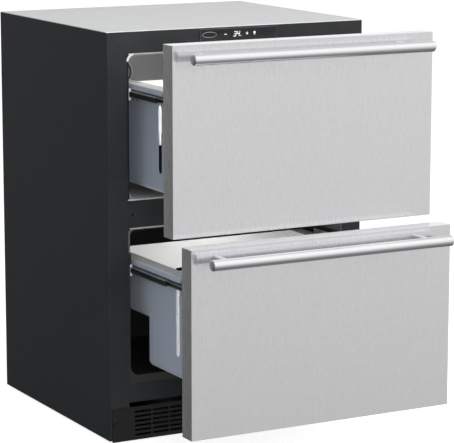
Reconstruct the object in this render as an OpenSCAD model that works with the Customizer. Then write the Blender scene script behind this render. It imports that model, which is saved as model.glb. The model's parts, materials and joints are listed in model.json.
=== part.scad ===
// Undercounter drawer refrigerator: a steel cabinet with two pull-out drawers.
// X runs to the right, Y to the back and Z up. The origin is on the floor, under the middle of the
// space that the refrigerator takes with both drawers open as far as drawn.
// Inside the modules Y is measured from the front of the face frame, and site() moves it into place.

/* [Cabinet] */
// Overall width of the cabinet
cabinet_w = 606; // [600:1:640]
// Overall height from the floor to the top of the top panel
cabinet_h = 857; // [855:1:900]
// Depth from the face frame's front to the rear panel's back
cabinet_d = 547; // [546:1:600]
// Height of the side panels' lower edge above the floor
floor_gap = 4.3; // [4.3:0.1:8]
// Thickness of the painted steel sheet
sheet_t = 1.2; // [0.8:0.1:1.6]
// Outer radius of the bend between a side panel and its stile
bend_r = 3.5; // [2:0.5:5]
// Thickness of the top panel
top_panel_t = 1.5; // [1:0.1:2]
// Width of each stile of the face frame
stile_w = 46; // [44:1:50]
// Height of the top rail and the top panel together
top_rail_h = 45.5; // [44:0.5:50]
// Height of the mullion between the openings
mullion_h = 54.7; // [50:0.1:56]
// Height of the bottom rail
bottom_rail_h = 39; // [36:1:40]
// Height of the bottom rail's lower edge above the floor
rail_floor = 82.3; // [80:0.1:84]
// How much taller the lower opening is than the upper one
opening_step = 24.5; // [20:0.5:28]
// Diameter of the screw holes in the mullion
frame_hole_d = 5; // [4:0.5:6]
// Distance from the opening's side to each mullion screw hole
frame_hole_inset = 11; // [9:1:20]
// Depth of the pocket behind each mullion screw hole
frame_hole_depth = 30; // [20:1:40]

/* [Liners] */
// Wall thickness of the plastic liners
liner_t = 2.5; // [2:0.1:3]
// Width of the liner's rim that shows inside the face frame
liner_lip = 4.5; // [4:0.5:5]
// Height of the lower liner's floor above its opening's lower edge
lower_floor_rise = 18; // [16:1:22]
// How far the liner's flange reaches behind the face frame
liner_flange = 10; // [6:1:12]
// Foam thickness between the liners' back wall and the rear panel
rear_foam = 35.3; // [30:0.1:36]
// Radius of the liners' upper corners
liner_top_r = 12; // [8:1:16]
// Radius of the liners' lower corners
liner_bottom_r = 20; // [12:1:24]
// Depth of the hump in front of the lower liner's back wall
hump_d = 192; // [185:1:196]
// Height of the hump's top above the floor
hump_z = 246; // [240:1:248]
// Foam thickness between the hump and the machine space
hump_foam = 30; // [24:1:36]
// Thickness of the sheet that closes the foam underneath
underside_t = 1; // [0.8:0.1:1.5]

/* [Drawers] */
// Distance from the cabinet's side in to the drawer fronts' side
front_inset = 5.7; // [4:0.1:8]
// Height of the lower drawer front's lower edge above the floor
front_floor = 92.8; // [92:0.1:94]
// Thickness of the drawer fronts
front_t = 38.5; // [34:0.5:45]
// Gap between the two drawer fronts
front_gap = 8; // [7:0.5:9]
// Distance from the cabinet's top down to the upper drawer front
front_drop = 2.2; // [2:0.1:3]
// Gap between a closed drawer front and the face frame
closed_gap = 6; // [6:0.5:8]
// Thickness of the drawer fronts' steel skin
skin_t = 0.9; // [0.6:0.1:1.2]
// Radius of the drawer fronts' vertical edges
skin_edge_r = 1.6; // [1.2:0.1:2.5]
// Thickness of the drawer fronts' inner panels
inner_panel_t = 3; // [2:0.5:4]
// How far the upper drawer stands open as drawn
upper_open = 236; // [60:1:300]
// How far the lower drawer stands open as drawn
lower_open = 312; // [60:1:350]

/* [Gaskets] */
// Width of a gasket's section
gasket_w = 12; // [10:1:14]
// How far a gasket's outer edge lies outside the opening
gasket_reach = 15; // [13:1:16]
// Clearance between a closed gasket and the face frame
gasket_clear = 0.3; // [0.3:0.1:1]
// Distance from the upper gasket's top to the control panel
gasket_panel_gap = 1.3; // [1:0.1:2]

/* [Handles] */
// Diameter of a handle bar
bar_d = 22; // [18:0.5:25]
// Distance from a drawer front's side in to the end of its bar
bar_inset = 23.3; // [5:0.1:47]
// Distance from a drawer front's face to the bar's axis
bar_standoff = 40; // [36:0.5:50]
// Distance from a drawer front's top down to the bar's axis
bar_drop = 25; // [20:0.5:40]
// Chamfer at the ends of a handle bar
bar_chamfer = 2; // [0.5:0.1:4]
// Diameter of a handle post
post_d = 13; // [10:0.5:15]
// Distance from a bar's end to the axis of its post
post_inset = 44; // [20:1:70]
// Diameter of the stud that holds a post
stud_d = 6; // [5:0.5:8]
// Length of the stud behind the drawer front's face
stud_l = 18; // [12:1:25]

/* [Bins] */
// Wall thickness of the bins
bin_t = 3; // [2.5:0.1:3.5]
// How far each rim reaches out beyond the bin's body
rim_reach = 27; // [26:0.5:31]
// Clearance behind a closed drawer's bin
bin_rear_clear = 11; // [8:1:30]
// Distance from the liner's wall to the bin's rim
rim_gap = 11.5; // [11.5:0.1:12.5]
// Thickness of a bin's rim
rim_t = 2.5; // [2:0.1:3]
// Height of the skirt that hangs from a bin's rim
skirt_h = 12; // [10:0.5:13]
// Distance from the drawer front to the start of the skirt
skirt_start = 107; // [100:1:200]
// Distance from the upper front's top down to the upper bin's rim
upper_rim_drop = 106.5; // [100:0.5:112]
// Distance from the lower front's top down to the lower bin's rim
lower_rim_drop = 86.5; // [82:0.5:92]
// Clearance under the upper bin
upper_bin_clear = 18.8; // [16:0.1:38]
// How far the upper bin's back wall stops below its rim
upper_back_drop = 23; // [15:1:30]
// Clearance under the lower bin's deep front part
lower_bin_clear = 19; // [16:0.1:44]
// Clearance between the hump and the lower bin's shallow part
hump_clear = 12.3; // [9.3:0.1:37]
// Clearance between the hump and the lower bin's step when closed
step_clear = 13; // [12:1:40]
// Outer radius of the bins' rounded edges
bin_r = 13; // [8:1:16]
// Width of the upright slots in the bins' side walls
slot_w = 15; // [12:0.5:16]
// Distance from the drawer front to the middle of those slots
slot_d = 180; // [170:1:190]
// Distance from a rim down to the slot's upper end
slot_drop = 38; // [34:1:44]
// Height of the slots' lower end above the upper bin's underside
slot_floor = 41; // [39:1:51]
// Length of the finger hole at the back of each rim
rim_notch_l = 16; // [12:1:20]
// Length of the oval slot in the lower bin's back wall
back_slot_l = 148; // [120:1:180]
// Height of the oval slot
back_slot_h = 8; // [6:0.5:10]
// Distance from the lower bin's rim down to the oval slot's middle
back_slot_drop = 62; // [50:1:70]

/* [Divider] */
// Thickness of the upper drawer's divider
divider_t = 3; // [2:0.5:4]
// Height of the divider's plate
divider_h = 110; // [90:1:120]
// Height of the divider's tongues in the slots
tongue_h = 58; // [50:1:60]
// Clearance round the divider in its bin
divider_clear = 0.5; // [0.4:0.1:0.7]

/* [Slides] */
// Height of a slide's fixed rail
slide_h = 16; // [15:0.5:17]
// Thickness of the slides' steel
slide_t = 1.2; // [1:0.1:1.3]
// Clearance between the slides' members
slide_clear = 0.5; // [0.35:0.05:0.6]
// Depth of a fixed rail from the liner to its open side
rail_d = 5.2; // [5:0.1:5.4]
// Distance from the fixed rails' rear end to the evaporator cover
slide_rear_gap = 6; // [4:1:26]
// Distance from the face frame to the front of the fixed rails
slide_setback = 4; // [3.5:0.5:5]
// Height of the bracket at the front of each fixed rail
slide_bracket_h = 24; // [18:1:28]
// Height that the runners' rear hooks stand above the rims
hook_rise = 10; // [6:1:14]
// Length of the runners' rear hooks
hook_l = 78; // [60:1:90]
// Distance from the bin's back to the runners' rear hooks
hook_rear = 53; // [40:1:90]

/* [Control panel] */
// Width of the control glass
control_w = 180; // [160:1:200]
// Height of the control glass
control_h = 27; // [25:0.5:27]
// Distance from the cabinet's top down to the glass
control_drop = 3.7; // [3:0.1:4.5]
// Thickness of the control glass
control_t = 3; // [2:0.1:4]
// Depth of the control housing behind the top rail
housing_d = 36; // [30:1:44]
// Wall thickness of the control housing
housing_t = 1.5; // [1:0.1:2]
// Height of the printed signs
icon_h = 6; // [4:0.5:8]
// Height of the printed digits
digit_h = 10.5; // [6:0.5:12]

/* [Toe-kick] */
// Distance from the cabinet's side in to the toe-kick's side
toe_inset = 5.5; // [4:0.5:7]
// Distance from the bottom rail down to the toe-kick
toe_gap = 9.5; // [8:0.5:11]
// Height of the toe-kick's lower edge above the floor
toe_floor = 1.1; // [1:0.1:2]
// Thickness of the toe-kick's sheet
toe_t = 1.5; // [1:0.1:2]
// Number of columns of vent slots
vent_columns = 12; // [8:1:14]
// Number of rows of vent slots
vent_rows = 6; // [4:1:6]
// Distance from one column of vents to the next
vent_pitch_x = 41.2; // [30:0.2:41.2]
// Distance from one row of vents to the next
vent_pitch_z = 9.8; // [8:0.1:9.8]
// Width of the bars between the columns
vent_bar = 3.8; // [2:0.1:6]
// Height of a vent slot
vent_h = 4.5; // [3:0.1:6]
// Distance from the toe-kick's side to each of its screws
toe_screw_inset = 7.5; // [7:0.1:9]
// Height of the toe-kick's screws above the floor
toe_screw_z = 38.3; // [30:0.1:42]
// How far the toe-kick can be let down
toe_travel = 12; // [8:0.5:14]

/* [Legs] */
// Diameter of a leg's screw stem
leg_stem_d = 10; // [8:0.5:12]
// Diameter of a leg's foot
leg_foot_d = 28; // [24:1:32]
// Thickness of a leg's foot
leg_foot_t = 3; // [2:0.1:3]
// Length of a leg above its foot
leg_l = 42; // [40:1:50]
// Distance from the cabinet's sides to the legs' axes
leg_inset_x = 33; // [30:1:50]
// Distance from the cabinet's front and back to the legs' axes
leg_inset_y = 30; // [28:1:45]
// How far each leg can be screwed out
leg_travel = 19; // [10:1:20]

/* [Machine space] */
// Thickness of the base pan
pan_t = 1.5; // [1.2:0.1:2]
// Height of the base pan's underside above the side panels' lower edge
pan_rise = 2; // [1.8:0.1:4]
// Height of the base pan's bosses for the legs
boss_h = 14; // [10:1:16]
// Radius of the compressor's shell
compressor_r = 70; // [60:1:74]
// Height of the compressor's shell
compressor_h = 150; // [130:1:155]
// Height of the compressor's rubber mounts
mount_h = 12; // [10:1:14]
// Radius of the condenser fan
condenser_fan_r = 70; // [55:1:74]
// Clearance between the condenser fan and its shroud
fan_clear = 4; // [3:0.5:6]
// Diameter of the refrigerant lines
line_d = 6.4; // [5:0.1:8]
// Height of the drain pan
drain_pan_h = 16; // [12:1:18]

/* [Evaporator] */
// Depth of the evaporator space behind its cover
evaporator_space = 38; // [36:1:40]
// Thickness of the evaporator cover
cover_t = 2.5; // [2:0.1:3]
// Outer radius of the ring round the fan vent
vent_ring_r = 30; // [26:1:32]
// Offset of the fan vent to the left of the middle
vent_x = 47; // [20:1:90]
// Height of the fan vent above the upper liner's floor
vent_z = 205; // [190:1:240]
// Height of the evaporator coil
coil_h = 110; // [80:1:120]
// Distance from the liner's wall to the evaporator coil's end
coil_inset = 52.5; // [33:0.5:100]

/* [Hidden] */

$fn = 48;
eps = 0.01;
running_fit = 0.05;

half_w = cabinet_w / 2;
inner_half = half_w - sheet_t;
open_half = half_w - stile_w;
liner_half = open_half - liner_lip;
rear_y = cabinet_d - sheet_t;
frame_top = cabinet_h - top_panel_t;

// Where the drawers stand: the front's inner face, measured from the face frame
upper_back_y = -closed_gap - upper_open;
lower_back_y = -closed_gap - lower_open;
// The origin lies in the middle between the furthest handle and the rear panel
front_reach = max(upper_open, lower_open) + closed_gap + front_t + bar_standoff + bar_d / 2;
face_y = (front_reach - cabinet_d) / 2;

// Heights of the openings and rails, from the top down
openings_h = cabinet_h - top_rail_h - mullion_h - bottom_rail_h - rail_floor;
upper_opening_h = (openings_h - opening_step) / 2;
lower_opening_h = openings_h - upper_opening_h;
upper_open_top = cabinet_h - top_rail_h;
upper_open_bottom = upper_open_top - upper_opening_h;
lower_open_top = upper_open_bottom - mullion_h;
lower_open_bottom = lower_open_top - lower_opening_h;
rail_bottom = lower_open_bottom - bottom_rail_h;
mullion_mid = (upper_open_bottom + lower_open_top) / 2;
frame_hole_x = open_half - frame_hole_inset;

// Inner faces of the liners
upper_floor_z = upper_open_bottom + liner_lip;
upper_ceiling_z = upper_open_top - liner_lip;
lower_floor_z = lower_open_bottom + lower_floor_rise;
lower_ceiling_z = lower_open_top - liner_lip;
foam_y = sheet_t + liner_t;
liner_d = rear_y - rear_foam - liner_t;
hump_y = liner_d - hump_d;

// The machine space behind and under the hump
machine_y = hump_y + liner_t + hump_foam + underside_t;
machine_z = hump_z - liner_t - hump_foam - underside_t;
pan_z = floor_gap + pan_rise;
pan_top = pan_z + pan_t;

// Drawer fronts and handle bars
front_w = cabinet_w - 2 * front_inset;
front_h = (cabinet_h - front_drop - front_gap - front_floor) / 2;
bar_l = front_w - 2 * bar_inset;
upper_front_top = cabinet_h - front_drop;
upper_front_bottom = upper_front_top - front_h;
lower_front_top = upper_front_bottom - front_gap;
lower_front_bottom = lower_front_top - front_h;
gasket_t = closed_gap - gasket_clear;
control_top = cabinet_h - control_drop;
control_bottom = control_top - control_h;

// Bins and slides
upper_rim_z = upper_front_top - upper_rim_drop;
lower_rim_z = lower_front_top - lower_rim_drop;
cover_y = liner_d - evaporator_space;
slide_gap = 0.5;
slide_drop = skirt_h + slide_gap + slide_h / 2;
slide_l = cover_y - slide_rear_gap - slide_setback;
rim_half = liner_half - rim_gap;
bin_half = rim_half - rim_reach;
bin_d = cover_y + closed_gap - bin_rear_clear;
upper_bin_h = upper_rim_z - upper_floor_z - upper_bin_clear;
lower_bin_h = lower_rim_z - lower_floor_z - lower_bin_clear;
lower_shallow_h = lower_rim_z - hump_z - hump_clear;
lower_step_d = hump_y + closed_gap - step_clear;
slot_h = upper_bin_h - slot_drop - slot_floor;
hook_d = bin_d - hook_rear - hook_l;

// Places in the evaporator space
coil_w = 2 * (liner_half - coil_inset);
vent_axis_z = upper_floor_z + vent_z;
fan_r = vent_ring_r - 4;

// Places in the machine space
fan_x = -120;
fan_axis_z = pan_top + 100;
shroud_half = 100;
condenser_y0 = machine_y + 4;
condenser_y1 = condenser_y0 + 28;
shroud_y = condenser_y1 + 3;
fan_y = shroud_y + 8;
fan_hub_l = 20;
motor_y = fan_y + fan_hub_l + 6;
motor_r = 32;
motor_l = 34;
compressor_x = 140;
compressor_y = (machine_y + rear_y) / 2;
compressor_z = pan_top + mount_h;
drier_x = 20;
drier_y = compressor_y + 55;
service_x = 60;
service_y = (liner_d + liner_t + rear_y) / 2;
service_r = 13;
drain_x = 150;
drain_d = 12;
gland_x = -250;
gland_z = pan_top + 45;
gland_r = 11;

// Colours as they look on the object
black_paint = [0.17, 0.18, 0.19];
top_grey = [0.80, 0.80, 0.80];
steel = [0.78, 0.78, 0.79];
white_plastic = [0.93, 0.93, 0.92];
liner_grey = [0.45, 0.46, 0.47];
dark_plastic = [0.08, 0.08, 0.09];
zinc = [0.66, 0.68, 0.68];
copper = [0.72, 0.45, 0.30];
foam_cream = [0.93, 0.88, 0.70];
seal_grey = [0.25, 0.26, 0.27];
motor_grey = [0.30, 0.31, 0.32];

// ---------- Shared shapes ----------

// Moves what is measured from the face frame to the model's origin
module site() {
    translate([0, face_y, 0])
        children();
}

// Extrudes an outline drawn in X and Z from y0 back to y1
module along_y(y0, y1) {
    translate([0, y1, 0])
        rotate([90, 0, 0])
            linear_extrude(y1 - y0)
                children();
}

// Extrudes an outline drawn in Y and Z from x0 to x1
module along_x(x0, x1) {
    translate([x0, 0, 0])
        rotate([90, 0, 90])
            linear_extrude(x1 - x0)
                children();
}

// The children and their mirror image about the cabinet's middle
module both_sides() {
    children();
    mirror([1, 0, 0])
        children();
}

// A round bar along Y
module round_y(r, y0, y1, x = 0, z = 0) {
    translate([x, y1, z])
        rotate([90, 0, 0])
            cylinder(r = r, h = y1 - y0);
}

// A round bar along X
module round_x(r, x0, x1, y, z) {
    translate([x0, y, z])
        rotate([0, 90, 0])
            cylinder(r = r, h = x1 - x0);
}

// A box between two corners
module block(low, high) {
    translate(low)
        cube(high - low);
}

// Rectangle from (x0, z0) to (x1, z1) with one radius at the top and one at the bottom
module rounded_rect(x0, x1, z0, z1, r_top, r_bottom) {
    translate([x0, z0 + r_bottom])
        square([x1 - x0, z1 - z0 - r_top - r_bottom]);
    translate([x0 + r_top, z1 - 2 * r_top])
        square([x1 - x0 - 2 * r_top, 2 * r_top]);
    translate([x0 + r_bottom, z0])
        square([x1 - x0 - 2 * r_bottom, 2 * r_bottom]);
    for (x = [x0 + r_top, x1 - r_top])
        translate([x, z1 - r_top])
            circle(r = r_top);
    for (x = [x0 + r_bottom, x1 - r_bottom])
        translate([x, z0 + r_bottom])
            circle(r = r_bottom);
}

// A slot with round ends, w wide, upright from z0 to z1 about y
module slot_outline(y, z0, z1, w) {
    translate([y - w / 2, z0 + w / 2])
        square([w, z1 - z0 - w]);
    for (z = [z0 + w / 2, z1 - w / 2])
        translate([y, z])
            circle(d = w);
}

// A tube that follows a list of points, with a brazed ball at each bend
module tube_path(points, d) {
    ball = d + 0.8;
    for (i = [0 : len(points) - 2]) {
        step = points[i + 1] - points[i];
        length = norm(step);
        translate(points[i])
            rotate([0, acos(step[2] / length), atan2(step[1], step[0])])
                cylinder(d = d, h = length);
    }
    for (i = [1 : len(points) - 2])
        translate(points[i])
            sphere(d = ball);
}

// ---------- Cabinet sheets ----------

// Plan of a left side panel: the side sheet, its bend and the stile
module side_plan() {
    translate([-half_w, bend_r])
        square([sheet_t, cabinet_d - bend_r]);
    translate([-half_w + bend_r, 0])
        square([stile_w - bend_r, sheet_t]);
    translate([-half_w + bend_r, bend_r])
        intersection() {
            difference() {
                circle(r = bend_r);
                circle(r = bend_r - sheet_t);
            }
            translate([-bend_r, -bend_r])
                square(bend_r);
        }
}

// Side panel with its mitre against the top rail and its hole for the toe-kick's screw
module side_panel_sheet() {
    mitre_gap = 0.3;
    difference() {
        translate([0, 0, floor_gap])
            linear_extrude(frame_top - floor_gap)
                side_plan();
        along_y(-eps, sheet_t + eps)
            polygon([
                [-half_w + bend_r, frame_top + 1],
                [-half_w + bend_r, frame_top - bend_r * mitre_slope],
                [-open_half + mitre_gap, upper_open_top - mitre_gap],
                [-open_half + mitre_gap, frame_top + 1]
            ]);
        round_y(toe_shank_r + running_fit, -1, sheet_t + 1, -toe_screw_x, toe_screw_z);
    }
}
mitre_slope = (frame_top - upper_open_top) / stile_w;

module left_side_panel() {
    color(black_paint)
        site()
            side_panel_sheet();
}

module right_side_panel() {
    color(black_paint)
        site()
            mirror([1, 0, 0])
                side_panel_sheet();
}

module top_panel() {
    color(top_grey)
        site()
            translate([0, 0, frame_top])
                linear_extrude(top_panel_t)
                    rounded_rect(-half_w, half_w, 0, cabinet_d, 2, 2);
}

module rear_panel() {
    color(black_paint)
        site()
            block([-inner_half, rear_y, machine_z], [inner_half, cabinet_d, frame_top]);
}

// Removable cover over the machine space, with three banks of vent slots
module machine_cover() {
    slots = 14;
    pitch = 10;
    color(black_paint)
        site()
            difference() {
                block([-inner_half, rear_y, pan_top], [inner_half, cabinet_d, machine_z - 0.3]);
                for (bank = [-1 : 1])
                    for (i = [0 : slots - 1])
                        translate([bank * 160 - 60, rear_y - 1, pan_top + 30 + i * pitch])
                            cube([120, sheet_t + 2, 4]);
                round_y(gland_r, rear_y - 1, cabinet_d + 1, gland_x, gland_z);
            }
}

// Rubber ring in the machine cover where a power cord would pass
module cord_gland() {
    color(dark_plastic)
        site()
            difference() {
                union() {
                    round_y(gland_r, rear_y - 3, cabinet_d, gland_x, gland_z);
                    round_y(gland_r + 3, rear_y - 4, rear_y, gland_x, gland_z);
                }
                round_y(gland_r - 6, rear_y - 5, cabinet_d + 1, gland_x, gland_z);
            }
}

// Plate over the upper opening, mitred into the stiles and cut out behind the glass
module top_rail() {
    color(black_paint)
        site()
            difference() {
                along_y(0, sheet_t)
                    polygon([
                        [-half_w + bend_r, frame_top - bend_r * mitre_slope],
                        [-half_w + bend_r, frame_top],
                        [half_w - bend_r, frame_top],
                        [half_w - bend_r, frame_top - bend_r * mitre_slope],
                        [open_half, upper_open_top],
                        [-open_half, upper_open_top]
                    ]);
                along_y(-1, sheet_t + 1)
                    rounded_rect(-control_w / 2 + 10, control_w / 2 - 10, control_bottom + 4,
                        control_top - 4, 3, 3);
            }
}

module center_mullion() {
    color(black_paint)
        site()
            difference() {
                block([-open_half, 0, lower_open_top], [open_half, sheet_t, upper_open_bottom]);
                both_sides()
                    round_y(frame_hole_d / 2, -1, sheet_t + 1, frame_hole_x, mullion_mid);
            }
}

module bottom_rail() {
    color(black_paint)
        site()
            block([-open_half, 0, rail_bottom], [open_half, sheet_t, lower_open_bottom]);
}

// ---------- Liners and foam ----------

// Space inside the upper liner, grown by g on every side but the front
module upper_hollow(g, y0) {
    along_y(y0, liner_d + g)
        rounded_rect(-liner_half - g, liner_half + g, upper_floor_z - g, upper_ceiling_z + g,
            liner_top_r + g, liner_bottom_r + g);
}

// Space inside the lower liner, with the hump left out, grown by g
module lower_hollow(g, y0) {
    along_y(y0, hump_y + g)
        rounded_rect(-liner_half - g, liner_half + g, lower_floor_z - g, lower_ceiling_z + g,
            liner_top_r + g, liner_bottom_r + g);
    along_y(hump_y - 40, liner_d + g)
        rounded_rect(-liner_half - g, liner_half + g, hump_z - g, lower_ceiling_z + g,
            liner_top_r + g, 6 + g);
}

// Flange of a liner behind the face frame, round the opening from z0 to z1
module liner_flange_plate(z0, z1) {
    block([-open_half - liner_flange, sheet_t, z0 - liner_flange],
        [open_half + liner_flange, foam_y, z1 + liner_flange]);
}

// Passage for cold air from the evaporator space to the lower compartment
passage_half = 150;
passage_y0 = cover_y + cover_t + 6;
passage_y1 = liner_d - 6;

module air_passage() {
    block([-passage_half, passage_y0, lower_ceiling_z - liner_t - 1],
        [passage_half, passage_y1, upper_floor_z + 1]);
}

// Upright passage in the foam for the refrigerant lines, open to the evaporator space
module service_passage() {
    translate([service_x, service_y, machine_z - 1])
        cylinder(r = service_r, h = service_top + service_r - machine_z);
    block([service_x - service_r, liner_d - 1, service_top - 6],
        [service_x + service_r, service_y, service_top + 6]);
}

// Bent round passage or tube for the meltwater, from the evaporator space at y0 down to z0
module drain_elbow(d, y0, z0) {
    translate([drain_x, service_y, z0])
        cylinder(d = d, h = drain_top + d / 2 - z0);
    round_y(d / 2, y0, service_y + d / 2, drain_x, drain_top);
}
coil_z0 = upper_floor_z + liner_bottom_r + cover_t + 18;
service_top = coil_z0 - 9;
drain_top = upper_floor_z + liner_bottom_r + cover_t + drain_d / 2 + 1;

module upper_liner() {
    color(liner_grey)
        site()
            difference() {
                union() {
                    upper_hollow(liner_t, sheet_t);
                    liner_flange_plate(upper_open_bottom, upper_open_top);
                }
                upper_hollow(0, sheet_t - 1);
                air_passage();
                service_passage();
                drain_elbow(drain_d, liner_d - 1, machine_z - 5);
            }
}

module lower_liner() {
    color(liner_grey)
        site()
            difference() {
                union() {
                    lower_hollow(liner_t, sheet_t);
                    liner_flange_plate(lower_open_bottom, lower_open_top);
                }
                lower_hollow(0, sheet_t - 1);
                air_passage();
            }
}

module insulation_foam() {
    color(foam_cream)
        site()
            difference() {
                block([-inner_half, foam_y, rail_bottom + underside_t],
                    [inner_half, rear_y, frame_top]);
                upper_hollow(liner_t, 0);
                lower_hollow(liner_t, 0);
                block([-half_w, machine_y - underside_t, 0], [half_w, cabinet_d, machine_z + underside_t]);
                air_passage();
                service_passage();
                drain_elbow(drain_d, liner_d - 1, machine_z - 5);
                block([-housing_half, 0, housing_z0], [housing_half, sheet_t + housing_d, housing_z1]);
                both_sides()
                    round_y(frame_hole_d / 2 + 1.5, 0, frame_hole_depth, frame_hole_x, mullion_mid);
            }
}

// Folded sheet that closes the foam over the plenum and round the machine space
module underside_sheet() {
    color(zinc)
        site()
            difference() {
                along_x(-inner_half, inner_half)
                    polygon([
                        [sheet_t, rail_bottom],
                        [machine_y, rail_bottom],
                        [machine_y, machine_z],
                        [rear_y, machine_z],
                        [rear_y, machine_z + underside_t],
                        [machine_y - underside_t, machine_z + underside_t],
                        [machine_y - underside_t, rail_bottom + underside_t],
                        [sheet_t, rail_bottom + underside_t]
                    ]);
                service_passage();
                drain_elbow(drain_d, liner_d - 1, machine_z - 5);
            }
}

// ---------- Base, legs and toe-kick ----------

leg_x = half_w - leg_inset_x;
leg_front_y = leg_inset_y;
leg_rear_y = cabinet_d - leg_inset_y;

module at_legs() {
    for (x = [-leg_x, leg_x])
        for (y = [leg_front_y, leg_rear_y])
            translate([x, y, 0])
                children();
}

// Base pan with turned-up sides and a threaded boss over each leg
module base_pan() {
    side_h = 22;
    color(zinc)
        site()
            difference() {
                union() {
                    block([-inner_half, sheet_t + 0.3, pan_z], [inner_half, rear_y, pan_top]);
                    both_sides()
                        block([inner_half - pan_t, sheet_t + bend_r, pan_z],
                            [inner_half, rear_y, pan_z + side_h]);
                    at_legs()
                        translate([0, 0, pan_z])
                            cylinder(d = leg_stem_d + 10, h = pan_t + boss_h);
                }
                at_legs()
                    translate([0, 0, pan_z - 1])
                        cylinder(d = leg_stem_d + 2 * running_fit, h = pan_t + boss_h + 2);
            }
}

// Screw leg: a round foot, a hexagon for the wrench and the stem
module leg(x, y) {
    hex_d = leg_stem_d + 4;
    color(zinc)
        site()
            translate([x, y, 0]) {
                cylinder(d = leg_foot_d, h = leg_foot_t);
                translate([0, 0, leg_foot_t])
                    cylinder(d = hex_d, h = pan_z - leg_foot_t - 0.4, $fn = 6);
                translate([0, 0, leg_foot_t])
                    cylinder(d = leg_stem_d, h = leg_l);
            }
}

module leg_front_left() {
    leg(-leg_x, leg_front_y);
}

module leg_front_right() {
    leg(leg_x, leg_front_y);
}

module leg_rear_left() {
    leg(-leg_x, leg_rear_y);
}

module leg_rear_right() {
    leg(leg_x, leg_rear_y);
}

toe_top = rail_bottom - toe_gap;
toe_y1 = -0.3;
toe_y0 = toe_y1 - toe_t;
toe_w = cabinet_w - 2 * toe_inset;
toe_screw_x = toe_w / 2 - toe_screw_inset;
toe_slot_r = 3.75;
toe_shank_r = 2.5;
vent_z0 = toe_floor + 11.1;

// Vented plate across the front of the plenum, with a slot at each end for its screw
module toe_kick() {
    lip_half = open_half - 7;
    vents_w = vent_columns * vent_pitch_x - vent_bar;
    color(black_paint)
        site() {
            difference() {
                along_y(toe_y0, toe_y1)
                    rounded_rect(-toe_w / 2, toe_w / 2, toe_floor, toe_top, 4, 1);
                for (i = [0 : vent_columns - 1])
                    for (j = [0 : vent_rows - 1])
                        translate([
                            i * vent_pitch_x - vents_w / 2,
                            toe_y0 - 1,
                            vent_z0 + j * vent_pitch_z - vent_h / 2
                        ])
                            cube([vent_pitch_x - vent_bar, toe_t + 2, vent_h]);
                both_sides()
                    along_y(toe_y0 - 1, toe_y1 + 1)
                        slot_outline(toe_screw_x, toe_screw_z - toe_slot_r,
                            toe_screw_z + toe_travel + toe_slot_r, 2 * toe_slot_r);
            }
            block([-lip_half, toe_y1 - eps, toe_floor], [lip_half, toe_y1 + 12, toe_floor + toe_t]);
        }
}

module toe_kick_screws() {
    head_r = 5.2;
    color(dark_plastic)
        site()
            both_sides() {
                round_y(toe_shank_r, toe_y0 - 0.3, sheet_t + 8, toe_screw_x, toe_screw_z);
                difference() {
                    round_y(head_r, toe_y0 - 2.3, toe_y0 - 0.3, toe_screw_x, toe_screw_z);
                    block([toe_screw_x - head_r, toe_y0 - 3, toe_screw_z - 0.6],
                        [toe_screw_x + head_r, toe_y0 - 1.5, toe_screw_z + 0.6]);
                }
            }
}

// ---------- Machine space ----------

// Sealed compressor: a domed shell on a foot plate
module compressor() {
    dome = 40;
    color(dark_plastic)
        site()
            translate([compressor_x, compressor_y, compressor_z]) {
                difference() {
                    translate([-compressor_r - 15, -50, 0])
                        cube([2 * compressor_r + 30, 100, 3]);
                    for (x = [-1, 1])
                        for (y = [-40, 40])
                            translate([x * (compressor_r + 5), y, -1])
                                cylinder(r = 3 + running_fit, h = 5);
                }
                translate([0, 0, 2.9])
                    rotate_extrude()
                        union() {
                            square([compressor_r, compressor_h - dome]);
                            translate([0, compressor_h - dome])
                                square([compressor_r - dome, dome]);
                            translate([compressor_r - dome, compressor_h - dome])
                                intersection() {
                                    circle(r = dome);
                                    square(dome);
                                }
                        }
            }
}

module compressor_mounts() {
    color([0.1, 0.1, 0.1])
        site()
            for (x = [-1, 1])
                for (y = [-40, 40])
                    translate([compressor_x + x * (compressor_r + 5), compressor_y + y, pan_top]) {
                        cylinder(r = 9, h = mount_h);
                        cylinder(r = 3, h = mount_h + 3);
                        translate([0, 0, mount_h + 3])
                            cylinder(r = 7, h = 4);
                    }
}

// Terminal cover on the right of the compressor
module start_relay_box() {
    color(dark_plastic)
        site()
            difference() {
                block([compressor_x + compressor_r - 12, compressor_y - 24, compressor_z + 30],
                    [compressor_x + compressor_r + 30, compressor_y + 24, compressor_z + 90]);
                translate([compressor_x, compressor_y, 0])
                    cylinder(r = compressor_r, h = machine_z);
            }
}

condenser_z0 = pan_top + 14;
condenser_rows = 7;
condenser_pitch = 25;
condenser_h = condenser_pitch * (condenser_rows - 1) + 20;
condenser_fins = 25;
condenser_fin_pitch = 7.5;
condenser_fin_half = (condenser_fins - 1) / 2 * condenser_fin_pitch;
condenser_x0 = fan_x - condenser_fin_half - 10;
condenser_x1 = fan_x + condenser_fin_half + 10;
condenser_mid_y = (condenser_y0 + condenser_y1) / 2;

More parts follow.
